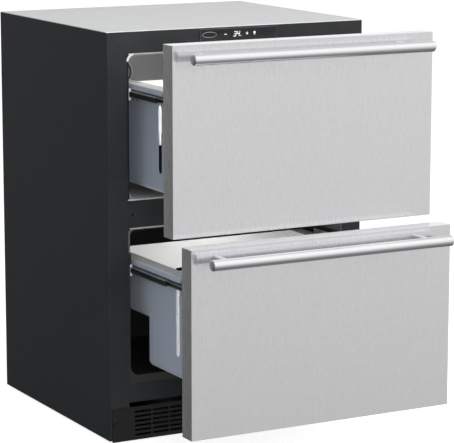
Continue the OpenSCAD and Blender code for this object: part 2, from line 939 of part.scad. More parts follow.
// Finned coil: serpentine tube through upright fins, between two end plates on the base pan
module condenser_coil() {
    plate_x = condenser_fin_half + 6;
    color([0.35, 0.35, 0.36])
        site()
            translate([fan_x, 0, 0]) {
                for (i = [0 : condenser_fins - 1])
                    translate([i * condenser_fin_pitch - condenser_fin_half - 0.4, condenser_y0,
                        condenser_z0])
                        cube([0.8, condenser_y1 - condenser_y0, condenser_h]);
                for (x = [-plate_x - 2, plate_x])
                    block([x, condenser_y0, pan_top], [x + 2, condenser_y1, condenser_z0 + condenser_h]);
                for (i = [0 : condenser_rows - 1])
                    round_x(line_d / 2, -condenser_fin_half - 10, condenser_fin_half + 10, condenser_mid_y,
                        condenser_z0 + 10 + i * condenser_pitch);
                for (i = [0 : condenser_rows - 2])
                    translate([
                        (i % 2 == 0 ? 1 : -1) * (condenser_fin_half + 10),
                        condenser_mid_y,
                        condenser_z0 + 10 + (i + 0.5) * condenser_pitch
                    ])
                        return_bend(condenser_pitch / 2, line_d, i % 2 == 0);
            }
}

// Half-round bend of a tube that joins two rows, open to the left or to the right
module return_bend(r, d, to_right) {
    rotate([90, 0, 0])
        rotate([0, 0, to_right ? -90 : 90])
            rotate_extrude(angle = 180)
                translate([r, 0])
                    circle(d = d, $fn = 24);
}

// Hub and pitched blades, turning about Y, with its front at the origin
module fan_wheel(r, hub_r, hub_l, blades, bore_r) {
    difference() {
        union() {
            round_y(hub_r, 0, hub_l);
            intersection() {
                round_y(r, 0, hub_l);
                for (i = [0 : blades - 1])
                    rotate([0, i * 360 / blades, 0])
                        translate([0, hub_l / 2, 0])
                            rotate([0, 0, 32])
                                translate([-r / 5, -0.8, 0])
                                    cube([r * 0.4, 1.6, r]);
            }
        }
        round_y(bore_r + running_fit, -1, hub_l + 1);
    }
}

module condenser_fan() {
    color(dark_plastic)
        site()
            translate([fan_x, fan_y, fan_axis_z])
                fan_wheel(condenser_fan_r, 18, fan_hub_l, 5, 3);
}

// Shroud plate with the fan's ring, and the motor on its pedestal
module condenser_fan_motor() {
    shroud_top = fan_axis_z + condenser_fan_r + fan_clear + 8;
    pedestal_y = motor_y + 4;
    pedestal_l = 20;
    strut_x = 40;
    strut_half = 6;
    foot_half = strut_x + strut_half;
    foot_t = 3;
    color(motor_grey)
        site() {
            difference() {
                block([fan_x - shroud_half, shroud_y, pan_top],
                    [fan_x + shroud_half, shroud_y + 2, shroud_top]);
                round_y(condenser_fan_r + fan_clear, shroud_y - 1, shroud_y + 3, fan_x, fan_axis_z);
            }
            round_y(3, fan_y, motor_y + 1, fan_x, fan_axis_z);
            round_y(motor_r, motor_y, motor_y + motor_l, fan_x, fan_axis_z);
            block([fan_x - 18, pedestal_y, pan_top],
                [fan_x + 18, pedestal_y + pedestal_l, fan_axis_z - motor_r + 6]);
            for (x = [fan_x - strut_x, fan_x + strut_x])
                block([x - strut_half, shroud_y + 1, pan_top],
                    [x + strut_half, pedestal_y + pedestal_l, pan_top + foot_t]);
            block([fan_x - foot_half, pedestal_y, pan_top],
                [fan_x + foot_half, pedestal_y + pedestal_l, pan_top + foot_t]);
        }
}

drier_z0 = pan_top + 55;
drier_l = 90;

module filter_drier() {
    color(copper)
        site()
            translate([drier_x, drier_y, drier_z0])
                rotate_extrude()
                    polygon([[0, 0], [4, 0], [10, 10], [10, drier_l - 10], [4, drier_l], [0, drier_l]]);
}

// Discharge, liquid, capillary and suction lines
module refrigerant_lines() {
    shell_top = compressor_z + compressor_h - 45;
    top_row = condenser_z0 + 10 + (condenser_rows - 1) * condenser_pitch;
    low_row = condenser_z0 + 10;
    passage_z = machine_z - 14;
    capillary_y = evap_mid_y + 7;
    color(copper)
        site()
            difference() {
                union() {
                    tube_path([
                        [compressor_x - 30, compressor_y - 30, shell_top],
                        [compressor_x - 66, compressor_y - 66, shell_top],
                        [condenser_x1 + 14, condenser_mid_y, top_row],
                        [condenser_x1, condenser_mid_y, top_row]
                    ], line_d);
                    tube_path([
                        [condenser_x0, condenser_mid_y, low_row],
                        [condenser_x0 - 12, condenser_mid_y, low_row],
                        [condenser_x0 - 12, drier_y, low_row],
                        [drier_x, drier_y, low_row],
                        [drier_x, drier_y, drier_z0]
                    ], line_d);
                    tube_path([
                        [drier_x, drier_y, drier_z0 + drier_l],
                        [drier_x, drier_y, passage_z - 10],
                        [service_x - 7, service_y, passage_z],
                        [service_x - 7, service_y, service_top],
                        [service_x - 7, capillary_y, service_top],
                        [-coil_w / 2 - 28, capillary_y, service_top],
                        [-coil_w / 2 - 28, evap_mid_y, coil_z0 + coil_h - 12],
                        [-coil_w / 2, evap_mid_y, coil_z0 + coil_h - 12]
                    ], line_d / 2);
                    tube_path([
                        [-coil_w / 2, evap_mid_y, coil_z0 + 12],
                        [-coil_w / 2 - 14, evap_mid_y, coil_z0 + 12],
                        [-coil_w / 2 - 14, evap_mid_y, service_top],
                        [service_x + 5, evap_mid_y, service_top],
                        [service_x + 5, service_y, service_top],
                        [service_x + 5, service_y, passage_z],
                        [compressor_x - 50, compressor_y + 50, shell_top - 20],
                        [compressor_x - 20, compressor_y + 20, shell_top - 20]
                    ], line_d);
                }
                translate([compressor_x, compressor_y, 0])
                    cylinder(r = compressor_r, h = machine_z);
            }
}

// Tray on top of the compressor, where the meltwater dries off
module drain_pan() {
    z0 = compressor_z + 2.9 + compressor_h;
    line_clear = 18;
    low = [service_x + line_clear, compressor_y - compressor_r + 10, z0];
    high = [compressor_x + compressor_r + 5, rear_y - 8, z0 + drain_pan_h];
    wall = 1.5;
    color(dark_plastic)
        site()
            difference() {
                block(low, high);
                block(low + [wall, wall, wall], high + [-wall, -wall, 1]);
            }
}

// Tube from the evaporator space down through the foam into the drain pan
module drain_tube() {
    z0 = compressor_z + 2.9 + compressor_h + 6;
    wall = 1.5;
    color(dark_plastic)
        site()
            difference() {
                drain_elbow(drain_d, liner_d, z0);
                drain_elbow(drain_d - 2 * wall, liner_d - 1, z0 - 1);
            }
}

// ---------- Evaporator space ----------

// Cover at the back of the upper compartment, with a fan vent and return slots
module evaporator_cover() {
    x1 = liner_half - 0.3;
    z0 = upper_floor_z + liner_bottom_r;
    z1 = upper_ceiling_z - liner_top_r;
    ring_t = 2.5;
    skirt_half = liner_half - liner_bottom_r;
    color(liner_grey)
        site() {
            block([-skirt_half, cover_y, upper_floor_z], [skirt_half, cover_y + cover_t, z0 + eps]);
            difference() {
                block([-x1, cover_y, z0], [x1, liner_d, z1]);
                block([-x1 + cover_t, cover_y + cover_t, z0 + cover_t],
                    [x1 - cover_t, liner_d + 1, z1 - cover_t]);
                block([-passage_half, passage_y0, z0 - 1], [passage_half, passage_y1, z0 + cover_t + 1]);
                round_y(vent_ring_r - ring_t, cover_y - 1, cover_y + cover_t + 1, -vent_x, vent_axis_z);
                for (i = [-5 : 5])
                    block([i * 36 - 13, cover_y - 1, z0 + 14], [i * 36 + 13, cover_y + cover_t + 1, z0 + 18]);
            }
            difference() {
                round_y(vent_ring_r, cover_y - 3, cover_y + cover_t, -vent_x, vent_axis_z);
                round_y(vent_ring_r - ring_t, cover_y - 4, cover_y + cover_t + 1, -vent_x, vent_axis_z);
            }
            for (i = [-2 : 2]) {
                bar_half = sqrt(pow(vent_ring_r - 1, 2) - pow(i * 9, 2));
                block([-vent_x - bar_half, cover_y, vent_axis_z + i * 9 - 1],
                    [-vent_x + bar_half, cover_y + cover_t, vent_axis_z + i * 9 + 1]);
            }
        }
}

evap_y0 = cover_y + cover_t + 4;
evap_y1 = liner_d - 3;
evap_mid_y = (evap_y0 + evap_y1) / 2;

// Finned coil hung on the liner's back wall
module evaporator_coil() {
    fins = 21;
    rows = 4;
    fin_pitch = (coil_w - 40) / (fins - 1);
    row_pitch = (coil_h - 24) / (rows - 1);
    tube_d = 8;
    color([0.75, 0.76, 0.77])
        site() {
            for (i = [0 : fins - 1])
                translate([i * fin_pitch - coil_w / 2 + 20 - 0.4, evap_y0, coil_z0])
                    cube([0.8, evap_y1 - evap_y0, coil_h]);
            for (i = [0 : rows - 1])
                round_x(tube_d / 2, -coil_w / 2, coil_w / 2, evap_mid_y, coil_z0 + 12 + i * row_pitch);
            for (i = [0 : rows - 2])
                translate([(i % 2 == 0 ? 1 : -1) * coil_w / 2, evap_mid_y,
                    coil_z0 + 12 + (i + 0.5) * row_pitch])
                    return_bend(row_pitch / 2, tube_d, i % 2 == 0);
            both_sides()
                block([coil_w / 2 - 27, evap_y1 - 1, coil_z0 + coil_h - 22],
                    [coil_w / 2 - 13, liner_d, coil_z0 + coil_h - 4]);
        }
}

evap_fan_y = cover_y + cover_t + 4;
evap_fan_l = 12;

module evaporator_fan() {
    color(dark_plastic)
        site()
            translate([-vent_x, evap_fan_y, vent_axis_z])
                fan_wheel(fan_r, 9, evap_fan_l, 5, 1.5);
}

// Small motor on the liner's back wall, with the fan's shaft
module evaporator_fan_motor() {
    motor_front = evap_fan_y + evap_fan_l + 1;
    color(motor_grey)
        site() {
            round_y(1.5, evap_fan_y, motor_front + 1, -vent_x, vent_axis_z);
            round_y(16, motor_front, liner_d, -vent_x, vent_axis_z);
            block([-vent_x - 28, liner_d - 3, vent_axis_z - 8], [-vent_x + 28, liner_d, vent_axis_z + 8]);
        }
}

// ---------- Control panel and lights ----------

housing_half = control_w / 2 - 6;
housing_z0 = control_bottom + 2;
housing_z1 = control_top - 2;
board_y = sheet_t + 6;
board_t = 1.6;

// Open-fronted box behind the top rail, with four posts for the board
module control_housing() {
    color(dark_plastic)
        site() {
            difference() {
                block([-housing_half, sheet_t, housing_z0], [housing_half, sheet_t + housing_d, housing_z1]);
                block([-housing_half + housing_t, 0, housing_z0 + housing_t],
                    [housing_half - housing_t, sheet_t + housing_d - housing_t, housing_z1 - housing_t]);
            }
            for (x = [-1, 1])
                for (z = [housing_z0 + 6, housing_z1 - 6])
                    round_y(2.5, board_y + board_t, sheet_t + housing_d - eps, x * (housing_half - 14), z);
        }
}

module control_board() {
    color([0.1, 0.35, 0.2])
        site() {
            block([-housing_half + 6, board_y, housing_z0 + 3],
                [housing_half - 6, board_y + board_t, housing_z1 - 3]);
            for (x = [-50 : 25 : 50])
                block([x - 6, board_y - 2, (housing_z0 + housing_z1) / 2 - 3],
                    [x + 6, board_y + eps, (housing_z0 + housing_z1) / 2 + 3]);
        }
}

module control_glass() {
    color([0.04, 0.04, 0.05])
        site()
            along_y(-control_t, 0)
                rounded_rect(-control_w / 2, control_w / 2, control_bottom, control_top, 3, 3);
}

icon_z = control_top - 12.5;
icon_depth = 0.15;

// A printed mark on the glass, drawn about its own centre in X and Z
module printed(x) {
    translate([x, 0, icon_z])
        along_y(-control_t - icon_depth, -control_t)
            children();
}

// One bar of a digit or sign, leaning to the right by lean times its height
module stroke(x0, z0, x1, z1, lean = 0) {
    polygon([[x0 + lean * z0, z0], [x1 + lean * z0, z0], [x1 + lean * z1, z1], [x0 + lean * z1, z1]]);
}

// Digits 3 and 4 with a point, a minus, a plus and a lamp
module control_icons() {
    line = icon_h / 6;
    bold = digit_h / 8;
    top = digit_h / 2;
    digit_w = digit_h * 0.42;
    lean = 0.16;
    color([0.95, 0.95, 0.95])
        site() {
            printed(-31)
                stroke(-icon_h / 2, -line / 2, icon_h / 2, line / 2);
            printed(-12.5) {
                for (z = [-top, -bold / 2, top - bold])
                    stroke(0, z, digit_w, z + bold, lean);
                stroke(digit_w - bold, -top, digit_w, top, lean);
            }
            printed(-7) {
                stroke(0, -bold / 2, digit_w, bold / 2, lean);
                stroke(digit_w - bold, -top, digit_w, top, lean);
                stroke(0, 0, bold, top, lean);
            }
            printed(-0.6)
                translate([0, -top / 2])
                    circle(r = 0.7 * bold);
            printed(19.6) {
                stroke(-icon_h / 2, -line / 2, icon_h / 2, line / 2);
                stroke(-line / 2, -icon_h / 2, line / 2, icon_h / 2);
            }
            printed(37.3) {
                translate([0, line])
                    difference() {
                        circle(r = icon_h / 2.4);
                        circle(r = icon_h / 2.4 - line);
                    }
                stroke(-line, -icon_h / 2 - line, line, -icon_h / 2 + line);
            }
        }
}

// Slim lamp under the ceiling of each compartment
module led_lights() {
    lamp_l = 220;
    lamp_w = 14;
    lamp_t = 5;
    lamp_y = sheet_t + liner_t + 20.3;
    color([0.95, 0.96, 0.98])
        site()
            for (z = [upper_ceiling_z, lower_ceiling_z])
                block([-lamp_l / 2, lamp_y, z - lamp_t], [lamp_l / 2, lamp_y + lamp_w, z]);
}

// ---------- Slides ----------
// Sections are drawn for the right side, with u measured inwards from the liner's wall.

rail_top = slide_h / 2;
middle_u0 = slide_t + slide_clear;
middle_web = rail_d + slide_clear;
middle_u1 = middle_web + slide_t + 4;
middle_top = rail_top - slide_t - slide_clear;
runner_u0 = middle_web + slide_t + slide_clear;
runner_web = middle_u1 + slide_clear;
runner_top = middle_top - slide_t - slide_clear;
slide_y1 = slide_setback + slide_l;
tab_d = 225;

// Box of a slide section from (u0, z0) to (u1, z1), from y0 to y1, on the right side
module slide_bar(u0, z0, u1, z1, y0, y1) {
    block([liner_half - u1, y0, z0], [liner_half - u0, y1, z1]);
}

// Upper and lower flange of a slide section
module flanges(u0, u1, z0, z1, y0, y1) {
    slide_bar(u0, z1 - slide_t, u1, z1, y0, y1);
    slide_bar(u0, z0, u1, z0 + slide_t, y0, y1);
}

// Fixed C rails on the liner's walls, each with a bright bracket and a screw at its front
module slide_rails(z) {
    translate([0, 0, z])
        both_sides() {
            slide_bar(0, -rail_top, slide_t, rail_top, slide_setback, slide_y1);
            flanges(0, rail_d, -rail_top, rail_top, slide_setback, slide_y1);
            difference() {
                slide_bar(0, -slide_bracket_h / 2, rail_d, slide_bracket_h / 2, slide_setback - 2,
                    slide_setback);
                slide_bar(middle_u0 - slide_clear, -middle_top - slide_clear, rail_d + 1,
                    middle_top + slide_clear, slide_setback - 3, slide_setback + 1);
            }
            round_x(2.5, liner_half - 2.5, liner_half, slide_setback + 6, -slide_bracket_h / 2 - 2);
        }
}

// Middle members: an H section that rides in the fixed rail and carries the runner
module slide_middles(z, shift) {
    translate([0, -shift, z])
        both_sides() {
            slide_bar(middle_web, -middle_top, middle_web + slide_t, middle_top, slide_setback, slide_y1);
            flanges(middle_u0, middle_u1, -middle_top, middle_top, slide_setback, slide_y1);
        }
}

// Runners under the bin's rims, with a front plate, small stop tabs and a rear hook
module slide_runners(rim_z) {
    z = -slide_drop;
    arm_u = runner_web + 8;
    hook_x = rim_half + 0.3;
    hook_z = z + rail_top + 0.1 - slide_t;
    front_u = liner_half - bin_half;
    translate([0, 0, rim_z])
        both_sides() {
            slide_bar(runner_web, z - runner_top, runner_web + slide_t, z + runner_top, 0, bin_d);
            flanges(runner_u0, runner_web + slide_t, z - runner_top, z + runner_top, 0, bin_d);
            slide_bar(runner_web, z + runner_top - slide_t, arm_u + slide_t, z + runner_top, 0, bin_d);
            slide_bar(arm_u, z + runner_top - slide_t, arm_u + slide_t, -rim_t, 0, bin_d);
            slide_bar(runner_web, z - 12, front_u, z + runner_top, 0, 2);
            for (i = [0 : 1])
                slide_bar(runner_web, z - rail_top - 3, runner_web + slide_t, z - runner_top,
                    tab_d + i * 18, tab_d + i * 18 + 6);
            slide_bar(runner_web, z, runner_web + slide_t, hook_z + slide_t, hook_d, hook_d + hook_l);
            slide_bar(liner_half - hook_x - slide_t, hook_z, runner_web + slide_t, hook_z + slide_t,
                hook_d, hook_d + hook_l);
            difference() {
                slide_bar(liner_half - hook_x - slide_t, hook_z, liner_half - hook_x, hook_rise,
                    hook_d, hook_d + hook_l);
                for (i = [1, 2])
                    round_x(3, hook_x - 1, hook_x + slide_t + 1, hook_d + i * hook_l / 3, hook_rise / 2 + 1);
            }
        }
}

upper_slide_z = upper_rim_z - slide_drop;
lower_slide_z = lower_rim_z - slide_drop;

module upper_slide_rails() {
    color(zinc)
        site()
            slide_rails(upper_slide_z);
}

module lower_slide_rails() {
    color(zinc)
        site()
            slide_rails(lower_slide_z);
}

module upper_slide_middles() {
    color(zinc)
        site()
            slide_middles(upper_slide_z, upper_open / 2);
}

module lower_slide_middles() {
    color(zinc)
        site()
            slide_middles(lower_slide_z, lower_open / 2);
}

module upper_slide_runners() {
    color(zinc)
        at_upper()
            slide_runners(upper_rim_z);
}

module lower_slide_runners() {
    color(zinc)
        at_lower()
            slide_runners(lower_rim_z);
}

// ---------- Drawer fronts ----------
// Y is measured from the inner face of the drawer front.

post_x = bar_l / 2 - post_inset;

// Plan of a drawer front with rounded front edges, drawn in X and Y
module front_plan(inset) {
    r = skin_edge_r;
    w = front_w / 2 - inset;
    y0 = -front_t + inset;
    translate([-w, y0 + r])
        square([2 * w, front_t - inset - r]);
    translate([-w + r, y0])
        square([2 * w - 2 * r, r + 1]);
    for (x = [-w + r, w - r])
        translate([x, y0 + r])
            circle(r = r);
}

// Folded pan of brushed steel: face, top, bottom and two sides, drilled for the handle
module front_skin(top) {
    bottom = top - front_h;
    difference() {
        translate([0, 0, bottom])
            linear_extrude(front_h)
                front_plan(0);
        translate([0, 0, bottom + skin_t])
            linear_extrude(front_h - 2 * skin_t)
                front_plan(skin_t);
        translate([0, -front_t / 2, bottom + skin_t])
            linear_extrude(front_h - 2 * skin_t)
                translate([-front_w / 2 + skin_t, 0])
                    square([front_w - 2 * skin_t, front_t]);
        both_sides()
            round_y(stud_d / 2 + running_fit, -front_t - 1, -front_t + skin_t + 1, post_x, top - bar_drop);
    }
}

module front_core(top) {
    bottom = top - front_h + skin_t;
    difference() {
        translate([0, 0, bottom])
            linear_extrude(front_h - 2 * skin_t)
                intersection() {
                    front_plan(skin_t);
                    translate([-front_w / 2, -front_t])
                        square([front_w, front_t - inner_panel_t]);
                }
        both_sides()
            round_y(stud_d / 2 + running_fit, -front_t, -front_t + stud_l + 1, post_x, top - bar_drop);
    }
}

// Plastic panel that closes the front's back
module inner_panel(top) {
    w = front_w / 2 - skin_t;
    block([-w, -inner_panel_t, top - front_h + skin_t], [w, 0, top - skin_t]);
}

// Frame w wide, from -x1 to x1 and z0 to z1, with outer radius r
module frame_outline(x1, z0, z1, r, w) {
    difference() {
        rounded_rect(-x1, x1, z0, z1, r, r);
        translate([-x1 + w, z0 + w])
            square([2 * (x1 - w), z1 - z0 - 2 * w]);
    }
}

// Seal round an opening, from z0 to z1
module gasket(z0, z1) {
    x1 = open_half + gasket_reach;
    groove = 1;
    difference() {
        along_y(0, gasket_t)
            frame_outline(x1, z0, z1, 6, gasket_w);
        along_y(gasket_t - groove, gasket_t + 1)
            frame_outline(x1 - 4, z0 + 4, z1 - 4, 4, gasket_w - 8);
    }
}

// Round bar with chamfered ends, in front of the face
module handle_bar(top) {
    r = bar_d / 2;
    translate([-bar_l / 2, -front_t - bar_standoff, top - bar_drop])
        rotate([0, 90, 0])
            rotate_extrude()
                polygon([
                    [0, 0],
                    [r - bar_chamfer, 0],
                    [r, bar_chamfer],
                    [r, bar_l - bar_chamfer],
                    [r - bar_chamfer, bar_l],
                    [0, bar_l]
                ]);
}

// Posts between the face and the bar, each with its stud through the skin
module handle_posts(top) {
    z = top - bar_drop;
    difference() {
        both_sides() {
            round_y(post_d / 2, -front_t - bar_standoff, -front_t, post_x, z);
            round_y(stud_d / 2, -front_t - 1, -front_t + stud_l, post_x, z);
        }
        round_x(bar_d / 2, -bar_l / 2, bar_l / 2, -front_t - bar_standoff, z);
    }
}

module at_upper() {
    site()
        translate([0, upper_back_y, 0])
            children();
}

module at_lower() {
    site()
        translate([0, lower_back_y, 0])
            children();
}

module upper_front_skin() {
    color(steel)
        at_upper()
            front_skin(upper_front_top);
}

module upper_front_core() {
    color(foam_cream)
        at_upper()
            front_core(upper_front_top);
}

module upper_inner_panel() {
    color(white_plastic)
        at_upper()
            inner_panel(upper_front_top);
}

module upper_gasket() {
    color(seal_grey)
        at_upper()
            gasket(upper_open_bottom - gasket_reach, control_bottom - gasket_panel_gap);
}

module upper_handle_bar() {
    color(steel)
        at_upper()
            handle_bar(upper_front_top);
}

module upper_handle_posts() {
    color(steel)
        at_upper()
            handle_posts(upper_front_top);
}

module lower_front_skin() {
    color(steel)
        at_lower()
            front_skin(lower_front_top);
}

module lower_front_core() {
    color(foam_cream)
        at_lower()
            front_core(lower_front_top);
}

module lower_inner_panel() {
    color(white_plastic)
        at_lower()
            inner_panel(lower_front_top);
}

module lower_gasket() {
    color(seal_grey)
        at_lower()
            gasket(lower_open_bottom - gasket_reach, lower_open_top + gasket_reach);
}

module lower_handle_bar() {
    color(steel)
        at_lower()
            handle_bar(lower_front_top);
}

module lower_handle_posts() {
    color(steel)
        at_lower()
            handle_posts(lower_front_top);
}

// ---------- Bins ----------
// Y is measured from the drawer front's inner face and Z from the rim's top.

// Tub shape from y0 to y1 and down to depth, with rounded lower edges, shrunk by g
module tub(y0, y1, depth, g) {
    r = bin_r - g;
    intersection() {
        along_y(y0 + g, y1 - g)
            rounded_rect(-bin_half + g, bin_half - g, -depth + g, 2 * g, 0.1, r);
        along_x(-bin_half + g, bin_half - g)
            rounded_rect(y0 + g, y1 - g, -depth + g, 2 * g, 0.1, r);
    }
}

// Rims along both sides with their skirts and rear finger holes
module rims() {
    rim_in = bin_half - bin_t;
    notch_d = bin_d - 20;
    difference() {
        both_sides() {
            block([rim_in, 0, -rim_t], [rim_half, bin_d, 0]);
            along_x(rim_half - rim_t, rim_half)
                polygon([
                    [skirt_start, -eps],
                    [bin_d, -eps],
                    [bin_d, -skirt_h],
                    [skirt_start + skirt_h, -skirt_h]
                ]);
        }
        both_sides()
            translate([0, 0, -rim_t - 1])
                linear_extrude(rim_t + 2)
                    slot_outline(rim_half - 9, notch_d - rim_notch_l / 2, notch_d + rim_notch_l / 2, 7);
    }
}

// Upright slots through both side walls
module side_slots() {
    along_x(-bin_half - 1, bin_half + 1)
        slot_outline(slot_d, -slot_drop - slot_h, -slot_drop, slot_w);
}

module upper_bin() {
    color(white_plastic)
        at_upper()
            translate([0, 0, upper_rim_z]) {
                difference() {
                    tub(0, bin_d, upper_bin_h, 0);
                    tub(0, bin_d, upper_bin_h, bin_t);
                    side_slots();
                    block([-bin_half + bin_t, bin_d - bin_t - 1, -upper_back_drop],
                        [bin_half - bin_t, bin_d + 1, 1]);
                }
                rims();
            }
}

// Deep front part, and shallow rear part over the hump with an oval slot at its back
module lower_bin() {
    color(white_plastic)
        at_lower()
            translate([0, 0, lower_rim_z]) {
                difference() {
                    union() {
                        tub(0, lower_step_d, lower_bin_h, 0);
                        tub(0, bin_d, lower_shallow_h, 0);
                    }
                    tub(0, lower_step_d, lower_bin_h, bin_t);
                    tub(0, bin_d, lower_shallow_h, bin_t);
                    side_slots();
                    along_y(bin_d - bin_t - 1, bin_d + 1)
                        rotate(90)
                            slot_outline(-back_slot_drop, -back_slot_l / 2, back_slot_l / 2, back_slot_h);
                }
                rims();
            }
}

// Plate across the bin, with a tongue in each slot that it slides up in
module upper_divider() {
    half = bin_half - bin_t - divider_clear;
    z0 = -slot_drop - slot_h;
    tongue_r = slot_w / 2 - divider_clear;
    color(dark_plastic)
        at_upper()
            translate([0, 0, upper_rim_z]) {
                block([-half, slot_d - divider_t / 2, -upper_bin_h + bin_r + 1],
                    [half, slot_d + divider_t / 2, -upper_bin_h + bin_r + 1 + divider_h]);
                both_sides()
                    along_x(half - 1, bin_half - divider_clear) {
                        translate([slot_d, z0 + slot_w / 2])
                            circle(r = tongue_r);
                        translate([slot_d - tongue_r, z0 + slot_w / 2])
                            square([2 * tongue_r, tongue_h - slot_w / 2]);
                    }
            }
}

// ---------- Assembly ----------

left_side_panel();
right_side_panel();
top_panel();
rear_panel();
machine_cover();
cord_gland();
top_rail();
center_mullion();
bottom_rail();
upper_liner();
lower_liner();
insulation_foam();
underside_sheet();
base_pan();
toe_kick();
toe_kick_screws();
leg_front_left();
leg_front_right();
leg_rear_left();
leg_rear_right();
compressor();
compressor_mounts();
start_relay_box();
condenser_coil();
condenser_fan();
condenser_fan_motor();
filter_drier();
refrigerant_lines();
drain_pan();
drain_tube();
evaporator_cover();
evaporator_coil();
evaporator_fan();
evaporator_fan_motor();
control_housing();
control_glass();
control_icons();
control_board();
led_lights();
upper_slide_rails();
lower_slide_rails();
upper_slide_middles();
lower_slide_middles();
upper_front_skin();
upper_front_core();
upper_inner_panel();
upper_gasket();
upper_handle_bar();
upper_handle_posts();
upper_bin();
upper_slide_runners();
upper_divider();
lower_front_skin();
lower_front_core();
lower_inner_panel();
lower_gasket();
lower_handle_bar();
lower_handle_posts();
lower_bin();
lower_slide_runners();
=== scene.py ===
import json
import math
from functools import reduce

import bmesh
import bpy
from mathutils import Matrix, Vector


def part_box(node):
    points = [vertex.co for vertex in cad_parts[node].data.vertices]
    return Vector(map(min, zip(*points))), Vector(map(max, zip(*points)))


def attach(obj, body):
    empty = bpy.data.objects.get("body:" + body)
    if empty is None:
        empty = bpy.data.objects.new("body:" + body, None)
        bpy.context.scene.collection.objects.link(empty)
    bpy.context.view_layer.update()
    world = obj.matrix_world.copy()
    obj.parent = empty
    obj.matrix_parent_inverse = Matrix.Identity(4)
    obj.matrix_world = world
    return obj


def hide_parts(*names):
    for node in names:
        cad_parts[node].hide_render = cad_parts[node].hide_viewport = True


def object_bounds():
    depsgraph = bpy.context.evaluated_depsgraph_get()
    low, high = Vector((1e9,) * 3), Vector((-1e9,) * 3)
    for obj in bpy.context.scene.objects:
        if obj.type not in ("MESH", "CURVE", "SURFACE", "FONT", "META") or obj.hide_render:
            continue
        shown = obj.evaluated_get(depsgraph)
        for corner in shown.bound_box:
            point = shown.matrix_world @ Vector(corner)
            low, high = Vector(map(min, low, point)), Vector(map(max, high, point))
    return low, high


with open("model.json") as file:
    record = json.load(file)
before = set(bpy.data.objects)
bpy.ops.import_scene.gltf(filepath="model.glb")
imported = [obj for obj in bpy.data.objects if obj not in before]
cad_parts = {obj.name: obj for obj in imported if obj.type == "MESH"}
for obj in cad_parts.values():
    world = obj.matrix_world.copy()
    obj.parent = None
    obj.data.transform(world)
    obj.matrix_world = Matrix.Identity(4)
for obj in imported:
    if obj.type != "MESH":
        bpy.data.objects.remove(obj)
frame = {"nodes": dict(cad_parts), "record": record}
cad_low, cad_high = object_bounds()
nodes = frame["nodes"]
slot_of = {s["node"]: s["material_slot"] for s in frame["record"]["subparts"]}
body_of = {n: b for b, names in frame["record"]["behaviour"]["bodies"].items() for n in names}
scene = bpy.context.scene


# ---------- Where a finish, painted shade or a painted highlight changes ---
# Each span is (low, high) in metres along the axis in its name. "side" is the distance from X = 0.

# Liners: the front lip with painted shade and painted highlights, the lower compartment with
# painted shade and the edge of its hump with a painted highlight
lip_y = (-0.07, -0.060)
lip_side = (0.2528, 0.3)
lip_shade_z = ((0.50, 0.82), (0.4460, 0.4520))
lip_highlight_z = ((0.5082, 0.5112), (0.8092, 0.8120), (0.4490, 0.4516))
sill_z = (0.5060, 0.5082)
upper_floor_z = (0.5090, 0.5112)
lower_ceiling_z = (0.40, 0.449)
lower_walls_z = (0.0, 0.40)
hump_edge_y, hump_edge_z = (0.2435, 0.2495), (0.2440, 0.2465)

# Rounded upper corners of the upper lip, with a painted highlight: where they are, their centre
# (side, Z) and their reach
corner_side, corner_z = (0.2415, 0.3), (0.7950, 0.82)
corner_centre, corner_reach = (0.2405, 0.7950), (0.0115, 0.0168)

# Bins: painted shade on the outer walls below the rims, and a painted highlight along the step
# of the lower bin's wall
bin_outer_side = (0.2125, 0.3)
bin_wall_z = ((0.40, 0.7462), (0.0, 0.3812))
step_front_y, step_front_z = (-0.1024, -0.1008), (0.17, 0.2685)
step_top_y, step_top_z = (-0.1016, 0.2), (0.2678, 0.2688)

# Slides: painted shade on the webs, and a painted highlight on the front brackets
slide_webs = ((0.2396, 0.2413), (0.2454, 0.2470), (0.2511, 0.2528))
bracket_side, bracket_y = (0.2471, 0.2528), (-0.0682, -0.0654)

# Painted highlights on the top panel's front edge and the control glass's rims, and painted shade
# in the foam behind the mullion's screw holes
top_edge_y = (-0.0720, -0.0685)
glass_rim_side, glass_rim_z = (0.0892, 0.091), (0.8523, 0.854)
pocket_side, pocket_y, pocket_z = (0.2405, 0.2515), (-0.07, -0.035), (0.4730, 0.4843)

# Colours of the painted shade (lip, pocket) and painted highlights (lip, corners, brackets, glass
# rims)
lip_painted_shade = (0.006, 0.006, 0.007)
lip_painted_highlight = (0.70, 0.70, 0.69)
corner_painted_highlight = (0.9, 0.9, 0.9)
bracket_painted_highlight = (0.92, 0.92, 0.92)
glass_rim_painted_highlight = (0.125, 0.125, 0.165)
pocket_painted_shade = (0.01, 0.01, 0.01)


# ---------- Materials ----------

def math_node(tree, kind, a, b):
    """The result of a maths node on two values, each a number or an output."""
    node = tree.nodes.new("ShaderNodeMath")
    node.operation = kind
    for value, socket in ((a, node.inputs[0]), (b, node.inputs[1])):
        if isinstance(value, (int, float)):
            socket.default_value = value
        else:
            tree.links.new(value, socket)
    return node.outputs[0]


def tint(colour, factor):
    return tuple(min(1.0, c * factor) for c in colour)


